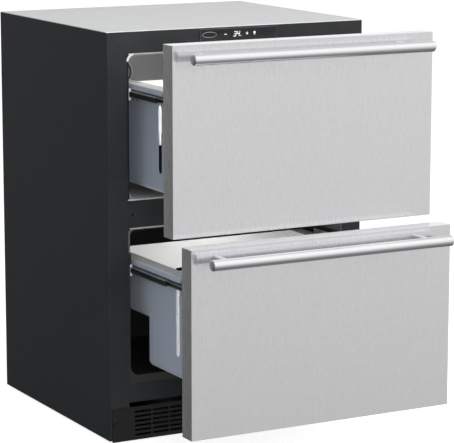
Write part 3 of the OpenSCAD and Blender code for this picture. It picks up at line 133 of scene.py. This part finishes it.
class Paint:
    """A Principled material whose colour, roughness and bump come from noise in object space."""

    def __init__(self, name):
        self.mat = bpy.data.materials.new(name)
        self.mat.use_nodes = True
        self.tree = self.mat.node_tree
        self.shader = self.tree.nodes["Principled BSDF"]
        self.place = self.add("ShaderNodeTexCoord").outputs["Object"]
        self.height = None

    def add(self, kind, **values):
        node = self.tree.nodes.new(kind)
        for key, value in values.items():
            setattr(node, key, value)
        return node

    def link(self, a, b):
        self.tree.links.new(a, b)

    def grid(self, scale, shift=0.0):
        """The place in grains per metre: one number, or one each along x, y and z."""
        grid = self.add("ShaderNodeMapping")
        grid.inputs["Scale"].default_value = scale if hasattr(scale, "__len__") else (scale,) * 3
        grid.inputs["Location"].default_value = (shift, shift * 0.7, shift * 1.3)
        self.link(self.place, grid.inputs["Vector"])
        return grid.outputs["Vector"]

    def noise(self, scale, detail, rough=0.55, shift=0.0):
        tex = self.add("ShaderNodeTexNoise")
        tex.inputs["Scale"].default_value = 1.0
        tex.inputs["Detail"].default_value = detail
        tex.inputs["Roughness"].default_value = rough
        self.link(self.grid(scale, shift), tex.inputs["Vector"])
        return tex.outputs["Fac"]

    def cells(self, scale):
        tex = self.add("ShaderNodeTexVoronoi")
        tex.inputs["Scale"].default_value = 1.0
        self.link(self.grid(scale), tex.inputs["Vector"])
        return tex.outputs["Color"]

    def spread(self, value, low, high, start=0.3, end=0.7):
        """The value from start to end becomes a number from low to high."""
        node = self.add("ShaderNodeMapRange")
        node.inputs["From Min"].default_value = start
        node.inputs["From Max"].default_value = end
        node.inputs["To Min"].default_value = low
        node.inputs["To Max"].default_value = high
        self.link(value, node.inputs["Value"])
        return node.outputs["Result"]

    def maths(self, kind, a, b=0.0):
        return math_node(self.tree, kind, a, b)

    def sum(self, a, b):
        return self.maths("ADD", a, b)

    def both(self, a, b):
        """1 where both masks are 1."""
        return self.maths("MULTIPLY", a, b)

    def either(self, a, b):
        """1 where one of the masks is 1."""
        return self.maths("MAXIMUM", a, b)

    def shade(self, value, dark, light):
        """Colour between dark and light by a value from 0 to 1."""
        node = self.add("ShaderNodeMix", data_type="RGBA")
        node.inputs["A"].default_value = (*dark, 1)
        node.inputs["B"].default_value = (*light, 1)
        self.link(value, node.inputs["Factor"])
        return node.outputs["Result"]

    def split(self):
        """The place's X, Y and Z, and its distance from X = 0 as side."""
        parts = self.add("ShaderNodeSeparateXYZ")
        self.link(self.place, parts.inputs[0])
        return {"X": parts.outputs["X"], "Y": parts.outputs["Y"], "Z": parts.outputs["Z"],
                "side": self.maths("ABSOLUTE", parts.outputs["X"])}

    def inside(self, value, span):
        """1 where the value lies between the two ends of a span."""
        low, high = span
        return self.both(self.maths("GREATER_THAN", value, low),
                         self.maths("LESS_THAN", value, high))

    def zone(self, **spans):
        """1 where the place lies inside every span, each given as Y, Z or side."""
        place = self.split()
        return reduce(self.both, [self.inside(place[axis], span) for axis, span in spans.items()])

    def arc(self, centre, reach):
        """1 where the distance from a centre (side, Z) lies inside a span."""
        place = self.split()
        out = self.maths("POWER", self.maths("SUBTRACT", place["side"], centre[0]), 2.0)
        up = self.maths("POWER", self.maths("SUBTRACT", place["Z"], centre[1]), 2.0)
        return self.inside(self.maths("POWER", self.sum(out, up), 0.5), reach)

    def patch(self, below, mask, colour):
        """The colour below, with another one where the mask is 1."""
        mix = self.add("ShaderNodeMix", data_type="RGBA")
        self.link(mask, mix.inputs["Factor"])
        self.link(below, mix.inputs["A"])
        mix.inputs["B"].default_value = (*colour, 1)
        return mix.outputs["Result"]

    def colour(self, output):
        self.link(output, self.shader.inputs["Base Color"])

    def rough(self, output):
        self.link(output, self.shader.inputs["Roughness"])

    def bump(self, value, strength, distance):
        node = self.add("ShaderNodeBump")
        node.inputs["Strength"].default_value = strength
        node.inputs["Distance"].default_value = distance
        self.link(value, node.inputs["Height"])
        if self.height is not None:
            self.link(self.height, node.inputs["Normal"])
        self.height = node.outputs["Normal"]
        self.link(self.height, self.shader.inputs["Normal"])

    def plastic(self, colour, wear, rough):
        """The spark texture and gloss of moulded plastic; returns its colour with flow marks.

        rough is the span of the roughness."""
        spark = self.noise(1400.0, 1.0)
        flow = self.noise((7.0, 7.0, 16.0), 3.0, 0.5, 1.7)
        self.rough(self.sum(self.spread(flow, *rough), self.spread(spark, -0.02, 0.02)))
        self.bump(spark, 0.15, 0.00003)
        return self.shade(self.spread(flow, 0, 1), tint(colour, 1 - wear), tint(colour, 1 + wear))

    def set(self, **values):
        for key, value in values.items():
            self.shader.inputs[key.replace("_", " ")].default_value = value
        return self


def brushed(name, colour, along, rough, streak, grain, satin=0.0, share=0.0):
    """Steel brushed along one axis: fine grain, wide soft streaks and a little smear.

    With a share, about that part of the grain is satin and the rest stays polished."""
    p = Paint(name)
    p.set(Metallic=1.0)
    fine = [1500.0] * 3
    wide = [150.0] * 3
    fine[along] = 5.0
    wide[along] = 3.5
    grains = p.noise(fine, 2.0)
    streaks = p.noise(wide, 3.0, 0.6, 3.1)
    smear = p.noise(4.0, 3.0, 0.5, 7.7)
    mixed = p.sum(p.spread(grains, 0, 0.45), p.spread(streaks, 0, 0.55))
    p.colour(p.shade(mixed, tint(colour, 1 - streak), tint(colour, 1 + streak)))
    base = p.sum(p.spread(smear, rough - 0.02, rough + 0.03), p.spread(grains, -0.02, 0.03))
    if share:
        tiny = [6000.0] * 3
        tiny[along] = 40.0
        facets = p.noise(tiny, 1.0, 0.5, 9.1)
        cut = 0.5 + 0.28 * (0.5 - share)
        base = p.sum(base, p.spread(facets, 0.0, satin - rough, cut - 0.01, cut + 0.01))
    p.rough(base)
    p.bump(grains, grain, 0.00002)
    p.bump(streaks, grain, 0.00006)
    return p.mat


def coat(name, colour, rough, specular, grain=900.0, depth=0.00006, wear=0.12, edge=None):
    """Powder coat or paint: orange peel, faint mottling and scuffs in the gloss.

    An edge is the colour of a painted highlight along the top panel's front edge."""
    p = Paint(name)
    p.set(Specular_IOR_Level=specular)
    peel = p.noise(grain, 2.0)
    mottle = p.noise(14.0, 4.0, 0.6, 2.3)
    scuff = p.noise((60.0, 45.0, 240.0), 4.0, 0.7, 5.9)
    face = p.shade(p.spread(mottle, 0, 1), tint(colour, 1 - wear), tint(colour, 1 + wear))
    # An edge colour is a painted highlight along the top panel's front edge
    if edge:
        face = p.patch(face, p.zone(Y=top_edge_y), edge)
    p.colour(face)
    p.rough(p.sum(p.spread(mottle, rough - 0.05, rough + 0.05), p.spread(scuff, -0.04, 0.05)))
    p.bump(peel, 0.35, depth)
    return p.mat


def moulded(name, colour, rough, specular, wear):
    """Satin moulded plastic."""
    p = Paint(name)
    p.set(Specular_IOR_Level=specular)
    p.colour(p.plastic(colour, wear, (rough - 0.04, rough + 0.04)))
    return p.mat


def liner(name, colour):
    """Grey liner plastic, with painted shade in the lower compartment.

    Its lip carries painted shade at the sides and the sill and painted highlights along the top,
    the floor and its rounded upper corners; the hump's edge carries a painted highlight."""
    p = Paint(name)
    p.set(Specular_IOR_Level=0.4)
    face = p.plastic(colour, 0.05, (0.36, 0.44))
    # Painted shade in the lower compartment and a painted highlight on the hump's edge
    marks = [(p.zone(Z=lower_ceiling_z), tint(colour, 0.45)),
             (p.zone(Z=lower_walls_z), tint(colour, 0.10)),
             (p.zone(Y=hump_edge_y, Z=hump_edge_z), tint(colour, 0.8))]
    # Painted highlights and painted shade on the lip, and a painted highlight on its upper corners
    marks += [(p.zone(Y=lip_y, Z=span), lip_painted_highlight) for span in lip_highlight_z]
    marks += [(p.zone(Y=lip_y, side=lip_side, Z=span), lip_painted_shade) for span in lip_shade_z]
    marks += [(p.zone(Y=lip_y, Z=sill_z), lip_painted_shade),
              (p.zone(Z=upper_floor_z), lip_painted_highlight),
              (p.both(p.zone(Y=lip_y, side=corner_side, Z=corner_z),
                      p.arc(corner_centre, corner_reach)), corner_painted_highlight)]
    for mask, other in marks:
        face = p.patch(face, mask, other)
    p.colour(face)
    return p.mat


def bin_white(name, inside, wall_painted_shade):
    """White bins whose outer walls and skirts carry a cooler, darker painted shade than their rims
    and insides, and a painted highlight along the lower bin's step.
    """
    p = Paint(name)
    p.set(Specular_IOR_Level=0.45, Subsurface_Weight=0.05, Subsurface_Scale=0.003)
    p.shader.inputs["Subsurface Radius"].default_value = (1.0, 0.9, 0.8)
    white = p.plastic(inside, 0.015, (0.31, 0.38))
    # Painted shade on the outer walls and skirts below the rims
    for span in bin_wall_z:
        white = p.patch(white, p.zone(side=bin_outer_side, Z=span), wall_painted_shade)
    # A painted highlight along the step, lighter than the painted shade around it
    step = p.either(p.zone(Y=step_front_y, Z=step_front_z), p.zone(Y=step_top_y, Z=step_top_z))
    step = p.both(p.zone(side=bin_outer_side), step)
    p.colour(p.patch(white, step, tint(wall_painted_shade, 1.22)))
    return p.mat


def zinc(name, colour, rough, spangle):
    """Zinc plated or galvanised steel with its crystal pattern and dull patches."""
    p = Paint(name)
    p.set(Metallic=1.0)
    crystals = p.cells(spangle)
    patches = p.noise(18.0, 4.0, 0.6, 4.2)
    grain = p.noise(700.0, 2.0)
    mixed = p.sum(p.spread(crystals, 0, 0.5, 0.1, 0.9), p.spread(patches, 0, 0.5))
    p.colour(p.shade(mixed, tint(colour, 0.86), tint(colour, 1.12)))
    p.rough(p.sum(p.spread(patches, rough - 0.05, rough + 0.1), p.spread(grain, -0.02, 0.04)))
    p.bump(grain, 0.2, 0.00003)
    return p.mat


def slide_steel(name, colour, web_painted_shade):
    """Bright zinc on the slides' flanges and hooks, painted shade on their webs and a pale painted
    highlight on the brackets.
    """
    p = Paint(name)
    crystals = p.cells(90.0)
    patches = p.noise(18.0, 4.0, 0.6, 4.2)
    # Masks of the painted shade on the webs and the painted highlight on the brackets
    web = reduce(p.either, [p.zone(side=span) for span in slide_webs])
    bracket = p.zone(Y=bracket_y, side=bracket_side)
    mixed = p.sum(p.spread(crystals, 0, 0.5, 0.1, 0.9), p.spread(patches, 0, 0.5))
    plated = p.shade(mixed, tint(colour, 0.86), tint(colour, 1.12))
    p.colour(p.patch(p.patch(plated, web, web_painted_shade), bracket, bracket_painted_highlight))
    dull = p.either(web, bracket)
    p.link(p.spread(dull, 0.85, 0.2, 0.0, 1.0), p.shader.inputs["Metallic"])
    p.rough(p.spread(patches, 0.33, 0.48))
    p.bump(patches, 0.05, 0.00003)
    return p.mat


def rubber(name, colour, rough):
    p = Paint(name)
    p.set(Specular_IOR_Level=0.35)
    grain = p.noise(800.0, 3.0)
    dust = p.noise(25.0, 4.0, 0.6, 6.1)
    p.colour(p.shade(p.spread(dust, 0, 1), tint(colour, 0.85), tint(colour, 1.35)))
    p.rough(p.spread(dust, rough - 0.08, rough + 0.1))
    p.bump(grain, 0.3, 0.00005)
    return p.mat


def glass(name):
    """Dark polished control glass with faint dust and a painted highlight along its rims."""
    p = Paint(name)
    p.set(Specular_IOR_Level=0.4, Coat_Weight=0.4, Coat_Roughness=0.03)
    dust = p.noise(45.0, 5.0, 0.7, 1.1)
    pane = p.shade(p.spread(dust, 0, 1), (0.030, 0.030, 0.032), (0.038, 0.038, 0.041))
    # Painted highlight along the glass's rims
    rim = p.either(p.zone(Z=glass_rim_z), p.zone(side=glass_rim_side))
    p.colour(p.patch(pane, rim, glass_rim_painted_highlight))
    p.rough(p.spread(dust, 0.05, 0.14))
    p.bump(dust, 0.02, 0.00002)
    return p.mat


def lit(name, colour, strength):
    """A print or lens that glows a little from behind."""
    p = Paint(name)
    grain = p.noise(900.0, 2.0)
    p.colour(p.shade(p.spread(grain, 0, 1), tint(colour, 0.93), colour))
    p.rough(p.spread(grain, 0.3, 0.4))
    p.set(Emission_Strength=strength)
    p.shader.inputs["Emission Color"].default_value = (*colour, 1)
    return p.mat


def bare_metal(name, dark, light, rough, metallic=1.0):
    """Copper, aluminium or bright steel with tarnish."""
    p = Paint(name)
    p.set(Metallic=metallic)
    tarnish = p.noise(30.0, 5.0, 0.65, 2.9)
    grain = p.noise(500.0, 2.0)
    p.colour(p.shade(p.spread(tarnish, 0, 1), dark, light))
    p.rough(p.spread(tarnish, rough - 0.06, rough + 0.12))
    p.bump(grain, 0.15, 0.00003)
    return p.mat


def foam_block(name):
    """Cream foam, with painted shade in the pockets behind the mullion's two screw holes."""
    p = Paint(name)
    pores = p.noise(600.0, 4.0, 0.7)
    age = p.noise(6.0, 4.0, 0.6, 3.3)
    cream = p.shade(p.spread(age, 0, 1), (0.62, 0.52, 0.27), (0.80, 0.72, 0.46))
    # Painted shade in the pockets behind the screw holes
    p.colour(p.patch(cream, p.zone(side=pocket_side, Y=pocket_y, Z=pocket_z), pocket_painted_shade))
    p.rough(p.spread(age, 0.8, 0.95))
    p.bump(pores, 0.5, 0.0004)
    return p.mat


def circuit_board(name):
    p = Paint(name)
    tracks = p.cells(300.0)
    p.colour(p.shade(p.spread(tracks, 0, 1, 0.45, 0.55), (0.01, 0.10, 0.04), (0.02, 0.17, 0.07)))
    p.rough(p.spread(tracks, 0.3, 0.45))
    p.bump(tracks, 0.2, 0.00005)
    return p.mat


along_x, along_z = 0, 2

paints = {
    "cabinet_paint": coat("black_powder_coat", (0.0300, 0.0320, 0.0335), 0.5, 0.30),
    "frame_paint": coat("black_frame_coat", (0.0400, 0.0410, 0.0425), 0.6, 0.12),
    "toe_paint": coat("satin_black", (0.017, 0.017, 0.018), 0.45, 0.25, 700.0),
    # The top panel's front edge carries a painted highlight
    "top_steel": coat("pale_top_coat", (0.60, 0.60, 0.595), 0.45, 0.45, 900.0, 0.00003, 0.012,
                      edge=(0.96, 0.96, 0.96)),
    "front_steel": brushed("brushed_front", (0.925, 0.925, 0.94), along_z, 0.13, 0.012, 0.06,
                           satin=0.46, share=0.35),
    "handle_steel": brushed("polished_bar", (0.90, 0.905, 0.92), along_x, 0.16, 0.015, 0.05),
    # The slides' webs carry painted shade and their brackets a painted highlight
    "slide_zinc": slide_steel("slide_zinc", (0.62, 0.65, 0.64), (0.030, 0.031, 0.032)),
    "zinc_sheet": zinc("galvanised_sheet", (0.13, 0.13, 0.13), 0.5, 50.0),
    "leg_steel": zinc("plated_leg", (0.46, 0.47, 0.47), 0.35, 200.0),
    "liner_plastic": liner("liner_grey", (0.30, 0.303, 0.31)),
    "cover_plastic": moulded("cover_grey", (0.46, 0.463, 0.47), 0.4, 0.4, 0.05),
    # The bins' second colour is painted shade on their outer walls and skirts
    "bin_plastic": bin_white("bin_white", (0.82, 0.82, 0.81), (0.62, 0.67, 0.755)),
    "divider_plastic": moulded("divider_black", (0.014, 0.014, 0.015), 0.42, 0.35, 0.1),
    "black_plastic": moulded("black_plastic", (0.014, 0.014, 0.015), 0.45, 0.35, 0.1),
    "foam": foam_block("insulation_foam"),
    "gasket_rubber": rubber("gasket_grey", (0.045, 0.045, 0.05), 0.6),
    "black_rubber": rubber("black_rubber", (0.018, 0.018, 0.018), 0.7),
    "black_screws": bare_metal("black_oxide", (0.012, 0.012, 0.013), (0.03, 0.03, 0.032), 0.35,
                               0.6),
    "compressor_paint": coat("gloss_black", (0.012, 0.012, 0.012), 0.25, 0.5, 250.0),
    "coil_paint": coat("coil_black", (0.03, 0.03, 0.03), 0.45, 0.4, 500.0),
    "motor_paint": coat("motor_grey", (0.09, 0.09, 0.10), 0.5, 0.4, 600.0),
    "copper": bare_metal("copper_tube", (0.42, 0.17, 0.09), (0.85, 0.42, 0.26), 0.3),
    "coil_aluminium": bare_metal("fin_aluminium", (0.55, 0.56, 0.57), (0.76, 0.77, 0.78), 0.34),
    "control_glass": glass("control_glass"),
    "icon_white": lit("lit_icons", (0.95, 0.96, 0.98), 0.6),
    "board": circuit_board("circuit_board"),
    "lamp_plastic": lit("lamp_lens", (0.90, 0.91, 0.90), 2.5),
}

for name, cad in nodes.items():
    cad.data.materials.clear()
    cad.data.materials.append(paints[slot_of[name]])


# ---------- Pieces dressed from the CAD solids ----------

weld_distance = 2e-6
flat_angle = math.radians(0.4)
sharp_angle = math.radians(35.0)


def dress(name, width, segments):
    """A copy of a CAD solid with its sharp edges rounded, which stands for the node."""
    source = nodes[name]
    bm = bmesh.new()
    bm.from_mesh(source.data)
    bmesh.ops.remove_doubles(bm, verts=bm.verts, dist=weld_distance)
    bmesh.ops.dissolve_limit(bm, angle_limit=flat_angle, verts=bm.verts, edges=bm.edges)
    # Only places and faces are taken over, so that none of the solid's own normals stay
    mesh = bpy.data.meshes.new(name + "_form")
    clean = bpy.data.meshes.new(name + "_work")
    bm.to_mesh(clean)
    bm.free()
    mesh.from_pydata([v.co for v in clean.vertices], [], [list(p.vertices) for p in clean.polygons])
    bpy.data.meshes.remove(clean)
    mesh.polygons.foreach_set("use_smooth", [True] * len(mesh.polygons))
    mesh.set_sharp_from_angle(angle=sharp_angle)
    mesh.materials.append(paints[slot_of[name]])
    piece = bpy.data.objects.new(name + "_dressed", mesh)
    scene.collection.objects.link(piece)
    edge = piece.modifiers.new("rounded", "BEVEL")
    edge.width = width
    edge.segments = segments
    edge.limit_method = "ANGLE"
    edge.angle_limit = sharp_angle
    edge.use_clamp_overlap = False
    edge.harden_normals = True
    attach(piece, body_of[name])
    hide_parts(name)


for names, width, segments in (
        (("upper_front_skin", "lower_front_skin"), 0.0006, 3),
        (("upper_handle_bar", "lower_handle_bar"), 0.0008, 3),
        (("upper_bin",), 0.0007, 3),
        (("upper_inner_panel", "lower_inner_panel", "control_glass", "upper_divider"), 0.0006, 2),
        (("top_panel", "top_rail", "center_mullion", "bottom_rail"), 0.0004, 2),
        (("left_side_panel", "right_side_panel"), 0.0003, 2),
        (("upper_slide_rails", "lower_slide_rails", "upper_slide_middles", "lower_slide_middles",
          "upper_slide_runners", "lower_slide_runners"), 0.0002, 2),
        (("upper_liner", "lower_liner"), 0.0006, 2)):
    for name in names:
        dress(name, width, segments)


# ---------- Rings and signs ----------

def ring(name, node, centre, radii, tube, paint, flat):
    """A slim ring round an axis along Y, on the face of the node that carries it.

    radii are its two half sizes along X and Z; flat squashes the tube along Y."""
    around, across = 72, 10
    points = []
    for i in range(around):
        a = 2 * math.pi * i / around
        for j in range(across):
            b = 2 * math.pi * j / across
            out = tube * math.cos(b)
            points.append((centre[0] + (radii[0] + out) * math.cos(a),
                           centre[1] - tube * flat * math.sin(b),
                           centre[2] + (radii[1] + out) * math.sin(a)))
    faces = [(i * across + j, i * across + (j + 1) % across,
              (i + 1) % around * across + (j + 1) % across, (i + 1) % around * across + j)
             for i in range(around) for j in range(across)]
    mesh = bpy.data.meshes.new(name)
    mesh.from_pydata(points, [], faces)
    mesh.polygons.foreach_set("use_smooth", [True] * len(faces))
    mesh.materials.append(paint)
    piece = bpy.data.objects.new(name, mesh)
    scene.collection.objects.link(piece)
    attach(piece, body_of[node])


signs_z = 0.8408


def print_signs(name, node, outlines):
    """The node's printed signs as thin prisms, each from an outline in millimetres.

    An outline's points are (X, height above the signs' middle)."""
    low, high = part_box(node)
    bm = bmesh.new()
    for outline in outlines:
        rows = [[bm.verts.new((x / 1000, y, signs_z + z / 1000)) for x, z in outline]
                for y in (low.y, high.y)]
        count = len(outline)
        bm.faces.new(rows[0])
        bm.faces.new(rows[1][::-1])
        for i in range(count):
            j = (i + 1) % count
            bm.faces.new((rows[0][j], rows[0][i], rows[1][i], rows[1][j]))
    mesh = bpy.data.meshes.new(name)
    bm.to_mesh(mesh)
    bm.free()
    mesh.materials.append(paints[slot_of[node]])
    piece = bpy.data.objects.new(name, mesh)
    scene.collection.objects.link(piece)
    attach(piece, body_of[node])
    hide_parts(node)


def leaning(x, x0, z0, x1, z1, lean=0.2):
    """A bar from (x0, z0) to (x1, z1) beside x, whose upright sides lean to the right."""
    return [(x + x0 + lean * z0, z0), (x + x1 + lean * z0, z0),
            (x + x1 + lean * z1, z1), (x + x0 + lean * z1, z1)]


def disc(x, z, radius):
    corners = 20
    steps = [2 * math.pi * i / corners for i in range(corners)]
    return [(x + radius * math.cos(a), z + radius * math.sin(a)) for a in steps]


# Places and sizes of the signs in millimetres
three, four, dot = -12.2, -3.9, 4.6
minus, plus, bulb = -31, 19.6, 37.3
three_wide, four_wide = 6.6, 6.0
digit_top, bold, dot_radius = 5.25, 1.2, 0.9
arm, half_bold = 3, 0.6

signs = [
    # 3
    leaning(three, 0, -digit_top, three_wide, -digit_top + bold),
    leaning(three, 1.2, -bold / 2, three_wide - bold, bold / 2),
    leaning(three, 0, digit_top - bold, three_wide, digit_top),
    leaning(three, three_wide - bold, -digit_top + bold, three_wide, digit_top - bold),
    # 4 and the dot after it
    leaning(four, 0, -bold / 2, four_wide - bold, bold / 2),
    leaning(four, four_wide - bold, -digit_top, four_wide, digit_top),
    leaning(four, 0, bold / 2, bold, digit_top),
    disc(dot, -digit_top + dot_radius, dot_radius),
    # Minus and plus
    leaning(minus, -arm, -half_bold, arm, half_bold, 0),
    leaning(plus, -arm, -half_bold, arm, half_bold, 0),
    leaning(plus, -half_bold, half_bold, half_bold, arm, 0),
    leaning(plus, -half_bold, -arm, half_bold, -half_bold, 0),
    # Lamp bulb
    disc(bulb, 1.2, 2.5),
    leaning(bulb, -1, -3.8, 1, -1.5, 0),
]
print_signs("control_signs", "control_icons", signs)

vent_low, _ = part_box("evaporator_cover")
vent_x, vent_z, vent_tube, vent_flat = -0.047, 0.7155, 0.0013, 0.6
bars_behind_face = 0.0026
vent_white = moulded("vent_white", (0.80, 0.80, 0.79), 0.3, 0.5, 0.02)
ring("vent_ring_outer", "evaporator_cover", (vent_x, vent_low.y, vent_z), (0.0285, 0.0285),
     vent_tube, vent_white, vent_flat)
ring("vent_ring_inner", "evaporator_cover", (vent_x, vent_low.y + bars_behind_face, vent_z),
     (0.0225, 0.0225), vent_tube, vent_white, vent_flat)
glass_low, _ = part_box("control_glass")
ring("badge_ring", "control_glass", (-0.0688, glass_low.y, 0.8412), (0.0160, 0.0055), 0.0005,
     bare_metal("badge_metal", (0.62, 0.62, 0.63), (0.80, 0.80, 0.81), 0.25), 0.3)


# ---------- Camera, floor and light ----------

# The camera was solved from the corners of the cabinet and the fronts in the photograph
camera_down, camera_turn = 0.179794, -0.495660
camera_data = bpy.data.cameras.new("photo_camera")
camera_data.sensor_width = 36.0
camera_data.lens = 179.27
camera_data.clip_start = 0.05
camera_data.clip_end = 200.0
camera = bpy.data.objects.new("photo_camera", camera_data)
camera.location = (-2.25024, -4.18315, 1.29602)
camera.rotation_euler = (math.pi / 2 - camera_down, 0.0, camera_turn)
scene.collection.objects.link(camera)
scene.camera = camera

world = bpy.data.worlds.new("studio")
world.use_nodes = True
scene.world = world
sky = world.node_tree
background = sky.nodes["Background"]
path = sky.nodes.new("ShaderNodeLightPath")
glossy = path.outputs["Is Glossy Ray"]
seen = reduce(lambda a, b: math_node(sky, "MAXIMUM", a, b),
              [path.outputs["Is Camera Ray"], glossy, path.outputs["Is Transmission Ray"]])

direction = sky.nodes.new("ShaderNodeTexCoord")
split = sky.nodes.new("ShaderNodeSeparateXYZ")
sky.links.new(direction.outputs["Generated"], split.inputs[0])


def toward(axis):
    """How far a ray points along one axis, from 0 to 1."""
    half = math_node(sky, "MULTIPLY_ADD", split.outputs[axis], 0.5)
    half.node.inputs[2].default_value = 0.5
    return half


def grey_ramp(value, spots):
    """A number that follows spots, each (value from 0 to 1, grey)."""
    node = sky.nodes.new("ShaderNodeValToRGB")
    ramp = node.color_ramp
    while len(ramp.elements) < len(spots):
        ramp.elements.new(0.5)
    for element, (at, grey) in zip(ramp.elements, spots):
        element.position = at
        element.color = (grey, grey, grey, 1)
    sky.links.new(value, node.inputs["Fac"])
    return node.outputs["Color"]


# What metal and gloss reflect: a bright ceiling, darker towards the floor, the left and the back
by_height = grey_ramp(toward("Z"), ((0.0, 0.12), (0.11, 0.19), (0.29, 0.38), (0.41, 0.64),
                                    (0.50, 0.76), (0.69, 1.0), (0.85, 1.08), (1.0, 0.9)))
by_side = grey_ramp(toward("X"), ((0.0, 0.25), (0.26, 0.31), (0.42, 0.75), (0.52, 1.0)))
by_depth = grey_ramp(toward("Y"), ((0.45, 1.0), (0.62, 0.62)))
reflected = math_node(sky, "MULTIPLY", math_node(sky, "MULTIPLY", by_height, by_side), by_depth)
# A bright band at the back, just above the horizon
low_back = math_node(sky, "MULTIPLY",
                     grey_ramp(toward("Y"), ((0.80, 0.0), (0.92, 0.55))),
                     grey_ramp(toward("Z"), ((0.50, 0.0), (0.53, 1.0), (0.64, 1.0), (0.72, 0.0))))
reflected = math_node(sky, "ADD", reflected, low_back)

# What lights the part without being seen: bluish and weaker from the left
ambient = grey_ramp(toward("X"), ((0.10, 0.5), (0.48, 1.0)))
ambient.node.color_ramp.elements[0].color = (0.42, 0.50, 0.62, 1)
ambient_level = 0.42

shown = sky.nodes.new("ShaderNodeMix")
shown.data_type = "RGBA"
shown.inputs["B"].default_value = (1, 1, 1, 1)
sky.links.new(seen, shown.inputs["Factor"])
sky.links.new(ambient, shown.inputs["A"])
sky.links.new(shown.outputs["Result"], background.inputs["Color"])
plain = math_node(sky, "SUBTRACT", 1.0, glossy)
strength = math_node(sky, "ADD", math_node(sky, "MULTIPLY", reflected, glossy),
                     math_node(sky, "MULTIPLY", plain, seen))
unseen = math_node(sky, "MULTIPLY", math_node(sky, "SUBTRACT", 1.0, seen), ambient_level)
sky.links.new(math_node(sky, "ADD", strength, unseen), background.inputs["Strength"])

# Floor: pale and plain, and keeps the shadow
floor_reach, floor_gap, floor_glow = 40, 0.0005, 0.84
floor_mesh = bpy.data.meshes.new("floor")
floor_mesh.from_pydata([(-floor_reach, -floor_reach, 0), (floor_reach, -floor_reach, 0),
                        (floor_reach, floor_reach, 0), (-floor_reach, floor_reach, 0)],
                       [], [(0, 1, 2, 3)])
floor = bpy.data.objects.new("floor", floor_mesh)
floor.location = (0, 0, cad_low.z - floor_gap)
floor.visible_glossy = False
scene.collection.objects.link(floor)
floor_mat = bpy.data.materials.new("floor")
floor_mat.use_nodes = True
ground = floor_mat.node_tree
shader = ground.nodes["Principled BSDF"]
shader.inputs["Base Color"].default_value = (0.62, 0.62, 0.62, 1)
shader.inputs["Roughness"].default_value = 0.9
shader.inputs["Specular IOR Level"].default_value = 0.0
camera_ray = ground.nodes.new("ShaderNodeLightPath").outputs["Is Camera Ray"]
glow = ground.nodes.new("ShaderNodeEmission")
glow.inputs["Color"].default_value = (1, 1, 1, 1)
ground.links.new(math_node(ground, "MULTIPLY", camera_ray, floor_glow), glow.inputs["Strength"])
both = ground.nodes.new("ShaderNodeAddShader")
ground.links.new(shader.outputs[0], both.inputs[0])
ground.links.new(glow.outputs[0], both.inputs[1])
ground.links.new(both.outputs[0], ground.nodes["Material Output"].inputs["Surface"])
floor_mesh.materials.append(floor_mat)


def lamp(name, place, aim, size, power):
    """A rectangular lamp that no gloss mirrors; its size is in metres and its power in watts."""
    data = bpy.data.lights.new(name, "AREA")
    data.shape = "RECTANGLE"
    data.size, data.size_y = size
    data.energy = power
    obj = bpy.data.objects.new(name, data)
    obj.location = place
    obj.rotation_euler = (Vector(aim) - Vector(place)).to_track_quat("-Z", "Y").to_euler()
    obj.visible_glossy = False
    scene.collection.objects.link(obj)
    return obj


lamp("overhead", (0.4, -1.2, 3.4), (0.0, -0.1, 0.4), (3.0, 3.0), 67)
lamp("front", (0.6, -4.4, 2.0), (0.0, -0.1, 0.4), (2.6, 2.0), 36)
lamp("fill", (-1.7, -4.4, 1.1), (-0.2, 0.0, 0.5), (1.6, 1.4), 58)

# The light of the lamps under the two ceilings, and soft light in the bins where they are drawn
for name, height, power in (("upper_led", 0.8005, 0.80), ("lower_led", 0.4405, 0.24)):
    led = lamp(name, (0.0, -0.039, height), (0.0, 0.20, height - 0.25), (0.21, 0.012), power)
    led.visible_camera = False
for name, place, size, power in (
        ("upper_bin_light", (0.0, -0.215, 0.742), (0.38, 0.13), 0.30),
        ("lower_bin_light", (0.0, -0.235, 0.377), (0.38, 0.22), 0.36)):
    inner = lamp(name, place, (place[0], place[1] + 0.001, 0.0), size, power)
    inner.visible_camera = False

scene.view_settings.view_transform = "Standard"
